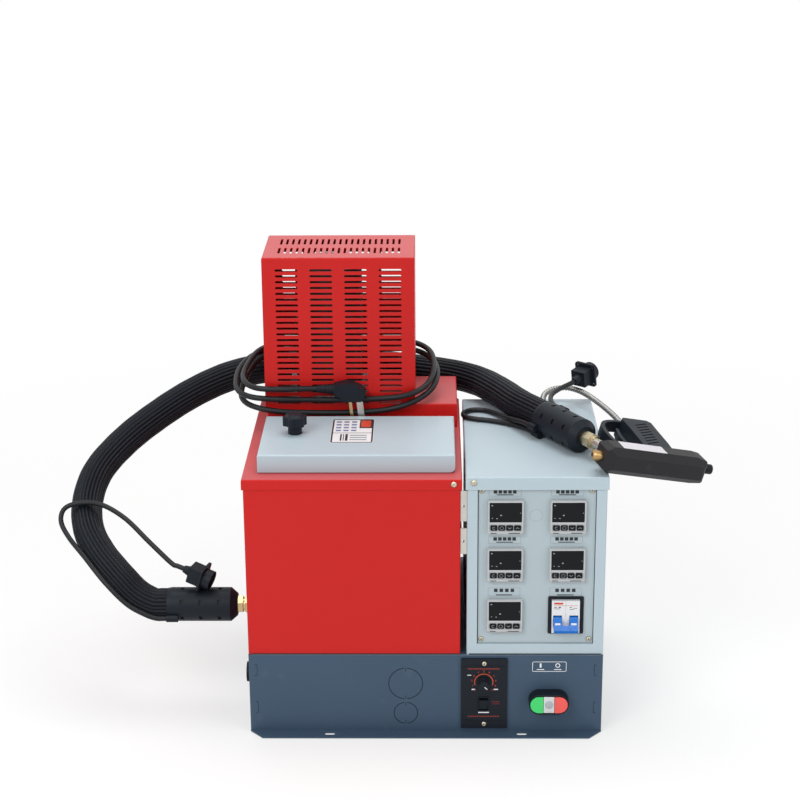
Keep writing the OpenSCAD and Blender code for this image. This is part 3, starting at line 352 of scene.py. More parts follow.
class Print:
    """Thin printed or laid-on layer on a flat face, drawn in that face's own two axes."""

    def __init__(self, origin, u=(1, 0, 0), v=(0, 0, 1), thick=0.12, lift=0.02):
        self.o, self.u, self.v = Vector(origin), Vector(u).normalized(), Vector(v).normalized()
        self.n = self.u.cross(self.v)
        self.low, self.high = lift, lift + thick
        self.verts, self.faces = [], []

    def _rows(self, loop):
        """Add a line's points at both heights; the result is the number of the first."""
        start = len(self.verts)
        for h in (self.low, self.high):
            self.verts += [self.o + x * self.u + y * self.v + h * self.n for x, y in loop]
        return start

    def fill(self, loop):
        """Filled outline, counter-clockwise."""
        s, n = self._rows(loop), len(loop)
        self.faces.append(tuple(range(s + n, s + 2 * n)))
        self.faces.append(tuple(range(s, s + n))[::-1])
        for i in range(n):
            j = (i + 1) % n
            self.faces.append((s + i, s + j, s + n + j, s + n + i))

    def band(self, inner, outer, closed):
        """Strip between two lines of equal count; outer lies to the right of the way along."""
        n = len(inner)
        a, b = self._rows(inner), self._rows(outer)
        for i in range(n if closed else n - 1):
            j = (i + 1) % n
            self.faces += [(b + n + i, b + n + j, a + n + j, a + n + i), (a + i, a + j, b + j, b + i),
                           (b + i, b + j, b + n + j, b + n + i), (a + j, a + i, a + n + i, a + n + j)]
        if not closed:
            e = n - 1
            self.faces += [(a, b, b + n, a + n), (b + e, a + e, a + n + e, b + n + e)]

    def rect(self, x0, y0, x1, y1):
        self.fill([(x0, y0), (x1, y0), (x1, y1), (x0, y1)])

    def rects(self, boxes):
        for box in boxes:
            self.rect(*box)

    def disc(self, x, y, r, n=20):
        turns = [2 * math.pi * k / n for k in range(n)]
        self.fill([(x + r * math.cos(a), y + r * math.sin(a)) for a in turns])

    def arc(self, x, y, r0, r1, a0=0.0, a1=360.0, n=40):
        closed = a1 - a0 >= 360
        angles = [math.radians(a0 + (a1 - a0) * k / n) for k in range(n if closed else n + 1)]
        self.band([(x + r0 * math.cos(a), y + r0 * math.sin(a)) for a in angles],
                  [(x + r1 * math.cos(a), y + r1 * math.sin(a)) for a in angles], closed)

    @staticmethod
    def corners(x0, y0, x1, y1, r, n=5):
        """Points of a rectangle with rounded corners, counter-clockwise."""
        out = []
        for cx, cy, start in ((x1 - r, y0 + r, -90), (x1 - r, y1 - r, 0), (x0 + r, y1 - r, 90),
                              (x0 + r, y0 + r, 180)):
            turns = [math.radians(start + 90 * k / n) for k in range(n + 1)]
            out += [(cx + r * math.cos(a), cy + r * math.sin(a)) for a in turns]
        return out

    def plate(self, x0, y0, x1, y1, r):
        self.fill(self.corners(x0, y0, x1, y1, r))

    def outline(self, x0, y0, x1, y1, r, w):
        inner = self.corners(x0 + w, y0 + w, x1 - w, y1 - w, max(r - w, LEAST_ROUND))
        self.band(inner, self.corners(x0, y0, x1, y1, r), True)

    def done(self, name, material, slot, body=BODY):
        piece(name, self.verts, self.faces, material, body)


# Camera

CAMERA_PLACE = (0.0109, -2.5171, 1.2803)
CAMERA_PITCH, CAMERA_YAW, CAMERA_ROLL = 18.80, -1.04, -0.44
LENS, SENSOR, SIGHT = 86.53, 36.0, 60.0


def place_camera():
    pitch, yaw, roll = (math.radians(a) for a in (CAMERA_PITCH, CAMERA_YAW, CAMERA_ROLL))
    forward = Vector((math.sin(yaw) * math.cos(pitch), math.cos(yaw) * math.cos(pitch), -math.sin(pitch)))
    right = Vector((math.cos(yaw), -math.sin(yaw), 0))
    up = right.cross(forward)
    r2 = right * math.cos(roll) + up * math.sin(roll)
    u2 = up * math.cos(roll) - right * math.sin(roll)
    data = bpy.data.cameras.new("camera")
    data.lens, data.sensor_width, data.clip_end = LENS, SENSOR, SIGHT
    cam = bpy.data.objects.new("camera", data)
    m = Matrix((r2, u2, -forward)).transposed().to_4x4()
    m.translation = Vector(CAMERA_PLACE)
    cam.matrix_world = m
    scene.collection.objects.link(cam)
    scene.camera = cam


place_camera()


# Cords: the source's own routes

HOSE = [(-357.3, -87, 154.5), (-366, -87, 154.5), (-376, -87, 154.8), (-400, -82, 166), (-427, -70, 190),
        (-455, -47, 214), (-475, -15, 236), (-482, 25, 262), (-471, 66, 294), (-438, 108, 324),
        (-394, 140, 352), (-344, 166, 378), (-292, 186, 397), (-243, 196, 406), (-185, 200, 411),
        (-130, 201, 412), (-70, 200, 410), (-13, 198, 404), (40, 192, 398), (79, 164, 396), (108, 113, 396.6),
        (133.1, 58, 396.6), (154.9, 21.1, 396.6), (161, 10.8, 396.6), (165.95, 2.46, 396.6)]
HOSE_LEAD = [(-357.3, -111.2, 143.6), (-364, -111.2, 143.6), (-371, -111.2, 143.8), (-385, -110.2, 148.5),
             (-411.4, -105.4, 162.3), (-442.3, -91.7, 188.5), (-474, -65, 216), (-500, -34, 232),
             (-513, -18, 250), (-508, -8, 266), (-484, -5, 273), (-455, -12, 272.5), (-420, -30, 259),
             (-384, -55, 234), (-351, -75, 210.2), (-342.2, -77.6, 207.4), (-334, -80.02, 204.7)]
GUN_LOOP = [(144.25, -10.37, 389.6), (140.3, -3.7, 389.6), (136.2, 3.2, 389.2), (125, 23, 386),
            (112, 50, 380.6), (100, 75, 377.2), (85, 91, 376.4), (67, 93, 376.4), (55, 81, 376.4),
            (56, 64, 376.4), (70, 54.5, 376.4), (92, 47, 376.4), (113, 36, 376.5), (130, 21, 377.6),
            (141.9, 6.5, 378.2), (146, -0.4, 378.2), (149.94, -7.01, 378.2)]
GUN_LEAD = [(187.65, 15.29, 405.5), (183.7, 21.9, 405.5), (179.7, 28.8, 405.6), (176.5, 50, 406),
            (180, 74, 406.3), (192, 96, 407), (207, 113, 408.5), (214, 121, 409.4)]
CONDUIT = [(187.65, 15.29, 387.7), (183.7, 21.9, 387.7), (179.7, 28.8, 387.8), (172.5, 52, 388.4),
           (169, 78, 389.5), (169, 103, 390.4), (175, 126, 391.2), (189, 143, 391.8), (207, 144, 392.4),
           (221, 131, 393), (232, 110, 393.6), (243, 81, 394), (254, 48, 394), (263.6, 18, 392.8),
           (269.3, -0.4, 391.1), (271.95, -7.9, 390.2), (274.44, -15, 389.28)]
MAINS = [(-60, 185.3, 60), (-60, 193, 60), (-60, 201, 60.2), (-60, 215, 63.5), (-60, 228, 73), (-60, 236, 89),
         (-60, 236, 112), (-60, 227, 145), (-60, 209, 195), (-60, 190, 245), (-60, 177.5, 295),
         (-60, 173.2, 345), (-60, 172.8, 385), (-63, 173, 412), (-77, 174, 434), (-102, 175.5, 446),
         (-140, 177, 448), (-185, 178.5, 444), (-220, 177, 438.5), (-243, 160, 432), (-256, 125, 423),
         (-262, 85, 412), (-258, 54, 406.5), (-241, 34, 402.5), (-208, 26.8, 398), (-165, 26.3, 396),
         (-110, 26.5, 396), (-60, 27, 399), (-22, 27.5, 409), (5, 43, 421), (16, 75, 430), (15, 118, 436),
         (3, 155, 439), (-19, 179, 440.5), (-55, 187.5, 441.5), (-110, 188.5, 442), (-180, 188, 440.5),
         (-225, 185.5, 439.5), (-252, 165, 437), (-267, 128, 431), (-270, 88, 424), (-264, 55, 419),
         (-244, 33.5, 416.8), (-210, 28.3, 415.3), (-160, 29, 414.2), (-110, 29, 414.2), (-60, 29, 416),
         (-25, 27, 421.5), (0, 40, 430), (11, 72, 439), (12, 112, 445), (5, 150, 449), (-15, 176, 452),
         (-52, 183.5, 455), (-110, 181, 456.5), (-180, 180, 454.5), (-217, 178.5, 450.5), (-242, 161, 446),
         (-254, 125, 440), (-259, 85, 434), (-253, 54, 431), (-234, 33, 429.7), (-200, 27.5, 430.2),
         (-172, 27, 431), (-162, 27, 431), (-152, 27, 431)]
HOSE_R, LEAD_R, CONDUIT_R, CORD_R = 22.0, 3.5, 4.2, 4.0
SPAN_STEPS = 16
PLEATS, PLEAT_DEPTH, PLEAT_SHARPNESS = 12, 1.5, 5
RIPPLE_DEPTH, RIPPLE_TURN = 0.12, 0.9
RIB_DEPTH, RIB_PITCH = 0.6, 4.4


def free_cord(name, route, radius, slot, node, sides, step,
              material=None, start_normal=(0, 0, 1)):
    """A cord along a route, standing for its plain CAD solid; the radius is in millimetres."""
    centres = even(spline(route, SPAN_STEPS), step)
    obj = tube(name, centres, radius, sides, material or FINISH[slot], start_normal)
    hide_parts(node)


def sleeve(angle, run):
    """Pleated sleeve: narrow grooves along the hose, with a slight ripple."""
    groove = PLEAT_DEPTH * abs(math.cos(PLEATS * angle)) ** PLEAT_SHARPNESS
    return HOSE_R - groove + RIPPLE_DEPTH * math.sin(run * RIPPLE_TURN)


def corrugated(angle, run):
    """Ribbed steel: the same at every angle."""
    return CONDUIT_R - RIB_DEPTH + RIB_DEPTH * math.cos(2 * math.pi * run / RIB_PITCH)


free_cord("hose_heated", HOSE, sleeve, "hose_sleeve", "heated_hose", sides=144, step=9)
free_cord("lead_hose", HOSE_LEAD, LEAD_R, "cable_rubber", "hose_lead", sides=18, step=5)
free_cord("lead_gun_loop", GUN_LOOP, LEAD_R, "cable_rubber", "gun_leads", sides=18, step=4)
free_cord("lead_gun", GUN_LEAD, LEAD_R, "cable_rubber", "gun_leads", sides=18, step=4)
free_cord("conduit_steel", CONDUIT, corrugated, "zinc", "gun_conduit", sides=22, step=0.75,
          material=CONDUIT_STEEL)
free_cord("cord_mains", MAINS, CORD_R, "cable_rubber", "mains_cord", sides=18, step=6,
          start_normal=(1, 0, 0))


# Control panel: label blocks, painted shade in the gaps at its edges and a blanked hole

PANEL_Y = front("control_panel")
LABEL_COLUMNS = (105.5, 187.5)
LABEL_ROWS = ((344, 354, 5, 6.3), (276.5, 287, 5, 6.3), (200, 212.5, 4, 7.4))
LABEL_HALF, LABEL_ROUND, LABEL_LINE = 21.5, 1.2, 0.45
BLOCK_HALF, BLOCK_FOOT, BLOCK_HEAD = 2.4, 6.2, 1.4
RULE_HALF, RULE_FOOT, RULE_HEAD = 11, 1.4, 2.7
SEEN_LEFT, SEEN_LOW, SEEN_RIGHT, SEEN_TOP = 69.55, 131.05, 225.95, 360.4
SHADE_GAP_LEFT, SHADE_GAP_RIGHT, SHADE_GAP_LOW = 1.2, 0.8, 0.7
HOLE_X, HOLE_Z, HOLE_R, HOLE_LINE = 147, 317, 8.3, 0.3


def panel_prints():
    panel_ink_and_shade = Print((0, PANEL_Y, 0))
    lines = Print((0, PANEL_Y, 0))
    for x in LABEL_COLUMNS:
        for low, high, count, pitch in LABEL_ROWS:
            lines.outline(x - LABEL_HALF, low, x + LABEL_HALF, high, LABEL_ROUND, LABEL_LINE)
            for k in range(count):
                at = x + (k - (count - 1) / 2) * pitch
                panel_ink_and_shade.rect(at - BLOCK_HALF, high - BLOCK_FOOT, at + BLOCK_HALF, high - BLOCK_HEAD)
            panel_ink_and_shade.rect(x - RULE_HALF, low + RULE_FOOT, x + RULE_HALF, low + RULE_HEAD)
    # Painted shade: dark strips down the panel's left and right edges stand for the shade in the gaps around
    # it.
    left, right = SEEN_LEFT + SHADE_GAP_LEFT, SEEN_RIGHT - SHADE_GAP_RIGHT
    panel_ink_and_shade.rect(SEEN_LEFT, SEEN_LOW, left, SEEN_TOP)
    panel_ink_and_shade.rect(right, SEEN_LOW, SEEN_RIGHT, SEEN_TOP)
    panel_ink_and_shade.done("panel_print_and_edge_shade", DARK_INK_AND_SHADE, "grey_paint")
    lines.arc(HOLE_X, HOLE_Z, HOLE_R, HOLE_R + HOLE_LINE)
    # Painted shade: a grey line along the panel's foot.
    lines.rect(left, SEEN_LOW, right, SEEN_LOW + SHADE_GAP_LOW)
    lines.done("panel_lines_and_edge_shade", GREY_INK_AND_SHADE, "grey_paint")


# Temperature controllers: marks in the window, signs on the keys and bars on the lower rim

CONTROLLERS = [middle("temperature_controller_%d" % number) for number in (1, 2, 3, 4, 5)]
RIM_Y, KEY_Y = front("temperature_controller_1"), front("controller_overlays")
WINDOW_SINK = 0.2
WINDOW_MARKS = ((-18, 17.5, 2.2, 1.4), (-6.2, 3.6, 2.4, 1.5), (-17.6, -0.6, 1.6, 1.0),
                (-11.4, -0.9, 2.4, 0.9), (19.4, 6.8, 1.2, 1.0))
MARK_ROUND = 0.4
KEY_DOWN, KEY_INNER, KEY_OUTER = 14.5, 5.2, 15.6
OPEN_RING, WHOLE_RING = (1.5, 2.0, 40, 320, 16), (2.1, 2.5, 0, 360, 20)
ARROW_HALF, ARROW_FOOT, ARROW_TIP, ARROW_STROKE = 2.3, -0.6, 1.2, 0.7
RIM_BARS, RIM_LOW, RIM_HIGH = ((-20, -12), (4, 19)), -22.4, -21.4


def arrow(sheet, x, z, turn):
    """Arrow sign of a key; turn is 1 for up and -1 for down."""

    def line(drop):
        foot, tip = z + (ARROW_FOOT - drop) * turn, z + (ARROW_TIP - drop) * turn
        return [(x - ARROW_HALF, foot), (x, tip), (x + ARROW_HALF, foot)][::turn]

    sheet.band(line(0), line(ARROW_STROKE), False)


def controller_prints():
    marks = Print((0, RIM_Y + WINDOW_SINK, 0))
    keys = Print((0, KEY_Y, 0))
    bars = Print((0, RIM_Y, 0))
    for x, z in CONTROLLERS:
        for dx, dz, w, h in WINDOW_MARKS:
            marks.plate(x + dx - w / 2, z + dz - h / 2, x + dx + w / 2, z + dz + h / 2, MARK_ROUND)
        key_z = z - KEY_DOWN
        keys.arc(x - KEY_OUTER, key_z, *OPEN_RING)
        keys.arc(x - KEY_INNER, key_z, *WHOLE_RING)
        arrow(keys, x + KEY_INNER, key_z, -1)
        arrow(keys, x + KEY_OUTER, key_z, 1)
        for left, right in RIM_BARS:
            bars.rect(x + left, z + RIM_LOW, x + right, z + RIM_HIGH)
    marks.done("controller_marks", GREY_INK_AND_SHADE, "window_black")
    keys.done("controller_keys", GREY_INK_AND_SHADE, "window_black")
    bars.done("controller_bars", DARK_INK_AND_SHADE, "bezel_grey")


# Breaker: red rules and dark marks above the handle, a white bar on each of its two caps

BREAKER_Y = front("breaker")
BREAKER_RULES = ((172.5, 191.2, 184.5, 193.8), (172.5, 189.2, 204, 189.6))
BREAKER_BARS = ((172.5, 186.4, 176, 187.2), (178.5, 186.2, 181.5, 187.6), (172.5, 184.4, 180, 185.0),
                (193, 186.4, 196, 187.2), (198, 185.2, 203, 185.8), (193, 183.6, 199, 184.2))
THROW_AT, THROW_TILT = (171.8, PANEL_Y - 4, 166.0), 35
CAP_FACE = 3.42
CAP_BARS = ((2.0, -9.0, 9.0, -6.0), (23.7, -9.0, 30.7, -6.0))


def breaker_prints():
    rules = Print((0, BREAKER_Y, 0))
    rules.rects(BREAKER_RULES)
    rules.done("breaker_rules", INK_RED, "white_plastic")
    bars = Print((0, BREAKER_Y, 0))
    bars.rects(BREAKER_BARS)
    bars.done("breaker_bars", DARK_INK_AND_SHADE, "white_plastic")
    tilt = math.radians(THROW_TILT)
    caps = Print(THROW_AT, (1, 0, 0), (0, math.cos(tilt), math.sin(tilt)), lift=CAP_FACE)
    caps.rects(CAP_BARS)
    caps.done("breaker_handle_bars", INK_WHITE, "blue_plastic", "breaker_handle")


# Speed plate: the dial and its numbers, dashes, bars, the knob's pointer and two bowed ridges

FLANGE, PLATE_PROUD = 20, 3
BASE_Y = front("base_frame") + FLANGE
PLATE_Y, KNOB_Y = BASE_Y - PLATE_PROUD, front("speed_knob")
DIAL_X, DIAL_Z = 79.0, 76.4
DIAL_ARC = (11.9, 13.0, -20, 200, 48)
NUMBER_RING, NUMBER_FIRST, NUMBER_STEP, NUMBER_LAST = 16.4, 225, 27, 10
CELL, STROKE = 1.1, 0.22
STROKES = {"a": (0, 2, 1, 2), "b": (1, 1, 1, 2), "c": (1, 0, 1, 1), "d": (0, 0, 1, 0), "e": (0, 0, 0, 1),
           "f": (0, 1, 0, 2), "g": (0, 1, 1, 1)}
DIGITS = ("abcdef", "bc", "abged", "abgcd", "fgbc", "afgcd", "afgedc", "abc", "abcdefg", "abcdfg")
TEN = ((1, -2 * CELL), (0, 0.2))
DASH_ROWS = ((57.5, 100.5, 95.8, 97.4, 14), (57.5, 100.5, 24.2, 25.6, 14), (90, 101, 46.6, 47.4, 4),
             (91, 101, 43.6, 44.2, 4))
DASH_SHARE = 0.7
PLATE_BARS = ((62.5, 65.0, 67.5, 66.6, 0.4), (92.5, 65.0, 98.5, 66.6, 0.4), (71.5, 30.0, 86.5, 31.6, 0.4),
              (56.5, 86.6, 62.0, 87.6, 0.3))
POINTER = (1.2, -0.5, 6.2, 0.5)
RIDGES = ((99.2, 2.2), (19.4, -2.2))
RIDGE_FROM, RIDGE_LONG, RIDGE_HALF, RIDGE_RISE, RIDGE_STEPS = 50, 59, 0.5, 0.5, 16


def numeral(sheet, digit, x, y):
    """Stick numeral with its lower left corner at x, y."""
    for key in DIGITS[digit]:
        x0, y0, x1, y1 = (CELL * c for c in STROKES[key])
        sheet.rect(x + x0 - STROKE, y + y0 - STROKE, x + x1 + STROKE, y + y1 + STROKE)


def dial_prints():
    arc = Print((0, PLATE_Y, 0))
    arc.arc(DIAL_X, DIAL_Z, *DIAL_ARC)
    arc.done("dial_arc", INK_ORANGE, "black_plastic")
    numbers = Print((0, PLATE_Y, 0))
    for k in range(NUMBER_LAST + 1):
        a = math.radians(NUMBER_FIRST - NUMBER_STEP * k)
        x, z = DIAL_X + NUMBER_RING * math.cos(a), DIAL_Z + NUMBER_RING * math.sin(a) - CELL
        for digit, aside in TEN if k == NUMBER_LAST else ((k, -CELL / 2),):
            numeral(numbers, digit, x + aside, z)
    numbers.done("dial_marks", INK_RED, "black_plastic")


def plate_prints():
    dashes = Print((0, PLATE_Y, 0))
    for left, right, low, high, count in DASH_ROWS:
        step = (right - left) / count
        for k in range(count):
            dashes.rect(left + step * k, low, left + step * (k + DASH_SHARE), high)
    dashes.done("speed_plate_dashes", INK_MAROON, "black_plastic")
    bars = Print((0, PLATE_Y, 0))
    for bar in PLATE_BARS:
        bars.plate(*bar)
    bars.done("dial_bars", INK_WHITE, "black_plastic")


def knob_pointer():
    slant = math.sqrt(0.5)
    hand = Print((DIAL_X, KNOB_Y, DIAL_Z), (slant, 0, -slant), (slant, 0, slant))
    hand.rect(*POINTER)
    hand.done("knob_pointer", INK_WHITE, "black_plastic", "speed_knob")


def plate_ridges():
    ridges = Print((0, PLATE_Y, 0), thick=RIDGE_RISE)
    for z, bow in RIDGES:
        along = [k / RIDGE_STEPS for k in range(RIDGE_STEPS + 1)]
        arch = [(RIDGE_FROM + RIDGE_LONG * t, z + bow * (1 - (2 * t - 1) ** 2)) for t in along]
        upper = [(x, y + RIDGE_HALF) for x, y in arch]
        ridges.band(upper, [(x, y - RIDGE_HALF) for x, y in arch], False)
    ridges.done("speed_plate_ridges", FINISH["black_plastic"], "black_plastic")


# Pilot lens: rings of its moulded face

PILOT_X, PILOT_Z = middle("pilot_lens")
PILOT_RINGS, PILOT_HALF, PILOT_SIDES, PILOT_DOT = (2.0, 3.6, 5.2), 0.45, 32, 0.9


def pilot_rings():
    face = Print((PILOT_X, front("pilot_lens"), PILOT_Z))
    for r in PILOT_RINGS:
        face.arc(0, 0, r - PILOT_HALF, r + PILOT_HALF, n=PILOT_SIDES)
    face.disc(0, 0, PILOT_DOT)
    face.done("pilot_rings", GREY_INK_AND_SHADE, "clear_lens")


# Painted shade in the cross recesses of the screws

HEAD_PROUD = 1.6
PANEL_SCREWS = [(x, PANEL_Y - HEAD_PROUD, z) for x in (75, 220) for z in (137.5, 352)]
SPEED_SCREWS = [(79.5, PLATE_Y - HEAD_PROUD, z) for z in (13.5, 104.5)]
RECESS_HALF, RECESS_SLOT, RECESS_TURN, FILM = 1.7, 0.35, 20, 0.05


def screw_recess_shade(label, heads):
    turn = math.radians(RECESS_TURN)
    along, across = (math.cos(turn), 0, math.sin(turn)), (-math.sin(turn), 0, math.cos(turn))
    # Painted shade: each head gets a dark cross standing for the shade in its recess.
    for number, head in enumerate(heads):
        cross = Print(head, along, across, thick=FILM)
        cross.rect(-RECESS_HALF, -RECESS_SLOT, RECESS_HALF, RECESS_SLOT)
        cross.rect(-RECESS_SLOT, -RECESS_HALF, RECESS_SLOT, RECESS_HALF)
        cross.done("%s_recess_%d" % (label, number), DARK_INK_AND_SHADE, "zinc")


# Base: painted shadow lines under the cabinets, a painted highlight along its top fold and two knockouts with
# painted shade in their grooves

CABINET_FRONT_Y, BASE_TOP, BASE_HALF = front("tank_cabinet"), top("base_frame"), 237.0
SEAM_SHADOW_SPANS, SEAM_SHADOW_LOW, SEAM_SHADOW_HIGH = ((-BASE_HALF, 47.0), (58.5, BASE_HALF)), 0.05, 1.75
FOLD_FRONT, FOLD_BACK = 0.9, 0.2
KNOCKOUT_X, KNOCKOUTS = -27, ((73.0, 23.5), (28.5, 16.5))
BRIDGE_HALF, GROOVE_IN, GROOVE_OUT = 2.0, 1.05, 0.1
TICK_HALF, TICK_FROM, TICK_TO = 0.4, 0.5, 5.5


def base_lines():
    # Painted shadow: dark strips at the foot of the cabinets' fronts, where the gap over the base lies in
    # shade.
    seam_shadow = Print((0, CABINET_FRONT_Y, 0))
    for left, right in SEAM_SHADOW_SPANS:
        seam_shadow.rect(left, BASE_TOP + SEAM_SHADOW_LOW, right, BASE_TOP + SEAM_SHADOW_HIGH)
    seam_shadow.done("cabinet_seam_shadows", DARK_INK_AND_SHADE, "red_paint")
    # Painted highlight: a paler strip on the base's top ledge, standing in for light caught by the fold.
    fold = Print((0, 0, BASE_TOP), (1, 0, 0), (0, 1, 0), thick=FILM)
    fold.rect(-BASE_HALF, BASE_Y + FOLD_FRONT, BASE_HALF, CABINET_FRONT_Y - FOLD_BACK)
    fold.done("base_fold_painted_highlight", FOLD_PAINTED_HIGHLIGHT, "slate_paint")


def knockouts():
    """Two half rings each, with a bridge between them at the top and the bottom, as painted shade in the
    grooves.
    """
    rounds = Print((0, BASE_Y, 0))
    for z, r in KNOCKOUTS:
        gap = math.degrees(math.asin(BRIDGE_HALF / r))
        for start in (-90, 90):
            rounds.arc(KNOCKOUT_X, z, r - GROOVE_IN, r + GROOVE_OUT, start + gap, start + 180 - gap)
        for end in (-1, 1):
            low, high = sorted((z + end * (r - TICK_FROM), z + end * (r - TICK_TO)))
            rounds.rect(KNOCKOUT_X - TICK_HALF, low, KNOCKOUT_X + TICK_HALF, high)
    rounds.done("knockout_groove_shade", SLATE_GROOVE_SHADE, "slate_paint")


# Plain start and stop signs above the buttons

SIGN_FRAME = (144.6, 91, 190.8, 106, 2.0, 0.7)
START_SIGN, STOP_SIGN = (154.6, 97.2, 157.0, 103.4), (179.0, 100.3, 2.2, 3.3, 0, 360, 28)
SIGN_RULES = ((150.8, 93.6, 160.8, 94.7), (174.0, 93.6, 184.0, 94.7))


def start_stop_print():
    signs = Print((0, BASE_Y, 0))
    signs.outline(*SIGN_FRAME)
    signs.rect(*START_SIGN)
    signs.arc(*STOP_SIGN)
    signs.rects(SIGN_RULES)
    signs.done("start_stop_print", INK_WHITE, "slate_paint")


# Lid sticker: paper, frame lines, a red field, rows of blue blocks and grey lines at its foot

STICKER_AT = (-128, -95, top("tank_lid"))
PAPER_THICK, INK_THICK = 0.15, 0.1
ON_PAINT, ON_PAPER, ON_INK = 0.02, 0.18, 0.3
STICKER_PAPER, STICKER_FRAME = (0, 0, 58, 95, 4), (0.6, 0.6, 57.4, 94.4, 3.6, 2.2)
STICKER_LINES = ((2.8, 38, 55.2, 39.4), (38, 58, 55.2, 92.2), (13, 8, 15.2, 34), (17, 8, 18.2, 34),
                 (20, 8, 23.4, 34))
STICKER_TINT = (40, 62, 53.4, 89, 2)
BLUE_COLUMNS, BLUE_ROWS, BLUE_FROM, BLUE_PITCH = (6, 16.5, 27), 4, 46, 11.5
BLUE_WIDE, BLUE_HIGH = 7, 5.5
FOOT_LEFT, FOOT_RIGHT, FOOT_ROWS, FOOT_FROM, FOOT_PITCH, FOOT_HIGH = 26, 49, 3, 10, 8.5, 4


def sticker_layer(thick=INK_THICK, lift=ON_PAPER):
    return Print(STICKER_AT, (1, 0, 0), (0, 1, 0), thick, lift)


def lid_sticker():
    paper = sticker_layer(PAPER_THICK, ON_PAINT)
    paper.plate(*STICKER_PAPER)
    paper.done("lid_sticker", PAPER, "grey_paint", "lid")
    border = sticker_layer()
    border.outline(*STICKER_FRAME)
    border.rects(STICKER_LINES)
    border.done("lid_sticker_frame", DARK_INK_AND_SHADE, "grey_paint", "lid")
    tint = sticker_layer(lift=ON_INK)
    tint.plate(*STICKER_TINT)
    tint.done("lid_sticker_tint", INK_RED, "grey_paint", "lid")
    rows = sticker_layer()
    for k in range(BLUE_ROWS):
        y = BLUE_FROM + BLUE_PITCH * k
        for x in BLUE_COLUMNS:
            rows.rect(x, y, x + BLUE_WIDE, y + BLUE_HIGH)
    rows.done("lid_sticker_rows", INK_BLUE, "grey_paint", "lid")
    foot = sticker_layer()
    for k in range(FOOT_ROWS):
        y = FOOT_FROM + FOOT_PITCH * k
        foot.rect(FOOT_LEFT, y, FOOT_RIGHT, y + FOOT_HIGH)
    foot.done("lid_sticker_foot", GREY_INK_AND_SHADE, "grey_paint", "lid")


# Gun: blank tag, and painted shade in the bore of the nozzle and the wells of the screws

GUN_AT = Vector((230.5, -153.5, 398))
GUN_TURNS = ((21, "Z"), (14.3, "Y"), (7, "X"))
SHELL_TOP, NOZZLE_FACE = 19, 13
TAG = (24, -10.5, 90, 10.5, 1)
BORE_R, WELL_R, ROUND_SIDES = 2.2, 2.3, 24
WELLS = ((17, -4.6), (99, -4.6), (130, 5.0))


def gun_prints():
    gun = Matrix.Identity(3)
    for degrees, axis in GUN_TURNS:
        gun = gun @ Matrix.Rotation(math.radians(degrees), 3, axis)
    gx, gy, gz = gun.col[0], gun.col[1], gun.col[2]
    upper = GUN_AT + SHELL_TOP * gz
    tag = Print(upper, gx, gy, PAPER_THICK)
    tag.plate(*TAG)
    tag.done("gun_label", TAG_PAPER, "black_plastic")
    # Painted shade: dark discs for the hole in the nozzle and the screw wells on top.
    bore_shade = Print(GUN_AT - NOZZLE_FACE * gx, gz, gy, FILM)
    bore_shade.disc(0, 0, BORE_R, ROUND_SIDES)
    bore_shade.done("nozzle_bore_shade", DARK_INK_AND_SHADE, "brass")
    well_shade = Print(upper, gx, gy, FILM)
    for x, y in WELLS:
        well_shade.disc(x, y, WELL_R, ROUND_SIDES)
    well_shade.done("gun_screw_well_shade", DARK_INK_AND_SHADE, "black_plastic")


# Mains plug: rings along the taper of its boot, and pins of two metals

BOOT_FROM, BOOT_TO = Vector((-151.7, 27, 431)), Vector((-125, 27, 430.6))
BOOT_RINGS, RING_FIRST, RING_PITCH = 6, 3.0, 4.0
BOOT_R, BOOT_FLARE, BOOT_LONG = 5.0, 2.4, 26.7
RING_RISE, RING_SLOPE, RING_WIDE = 0.7, 0.5, 2.1
PIN_SPLIT = -98.5


def plug_boot():
    profile = []
    for k in range(BOOT_RINGS):
        at = RING_FIRST + RING_PITCH * k
        r = BOOT_R + BOOT_FLARE * at / BOOT_LONG
        profile += [(at, r), (at + RING_SLOPE, r + RING_RISE),
                    (at + RING_WIDE - RING_SLOPE, r + RING_RISE), (at + RING_WIDE, r)]
    lathe("plug_boot_rings", BOOT_FROM, BOOT_TO - BOOT_FROM, profile, FINISH["cable_rubber"])


def pin_metals():
    """Brass on the pin left of the split; the slot's own finish on the other."""
    pins = nodes["plug_pins"]
    pins.data.materials.append(FINISH["brass"])
    for face in pins.data.polygons:
        face.material_index = 1 if (pins.matrix_world @ face.center).x < PIN_SPLIT * MM else 0


panel_prints()
controller_prints()
breaker_prints()
dial_prints()
plate_prints()
knob_pointer()
plate_ridges()
pilot_rings()
screw_recess_shade("panel_screw", PANEL_SCREWS)
screw_recess_shade("speed_screw", SPEED_SCREWS)
base_lines()
knockouts()
start_stop_print()
lid_sticker()
gun_prints()
plug_boot()
pin_metals()


# Light, floor and backdrop

WORLD_LIGHT, WORLD_SEEN = 0.5, 1.0
FLOOR_HALF, FLOOR_Z = 30.0, -0.0005
FADE_FROM, FADE_TO, GLOW_NEAR, GLOW_FAR = 0.5, 1.8, 0.55, 1.0
AIM = (0, 0, 0.3)


def seen_rays(tree):
    """Socket that is 1 for camera, glossy and transmission rays."""
    path = tree.nodes.new("ShaderNodeLightPath")
    seen = path.outputs["Is Camera Ray"]
    for key in ("Is Glossy Ray", "Is Transmission Ray"):
        larger = tree.nodes.new("ShaderNodeMath")
        larger.operation = "MAXIMUM"
        tree.links.new(seen, larger.inputs[0])
        tree.links.new(path.outputs[key], larger.inputs[1])
        seen = larger.outputs[0]
    return seen


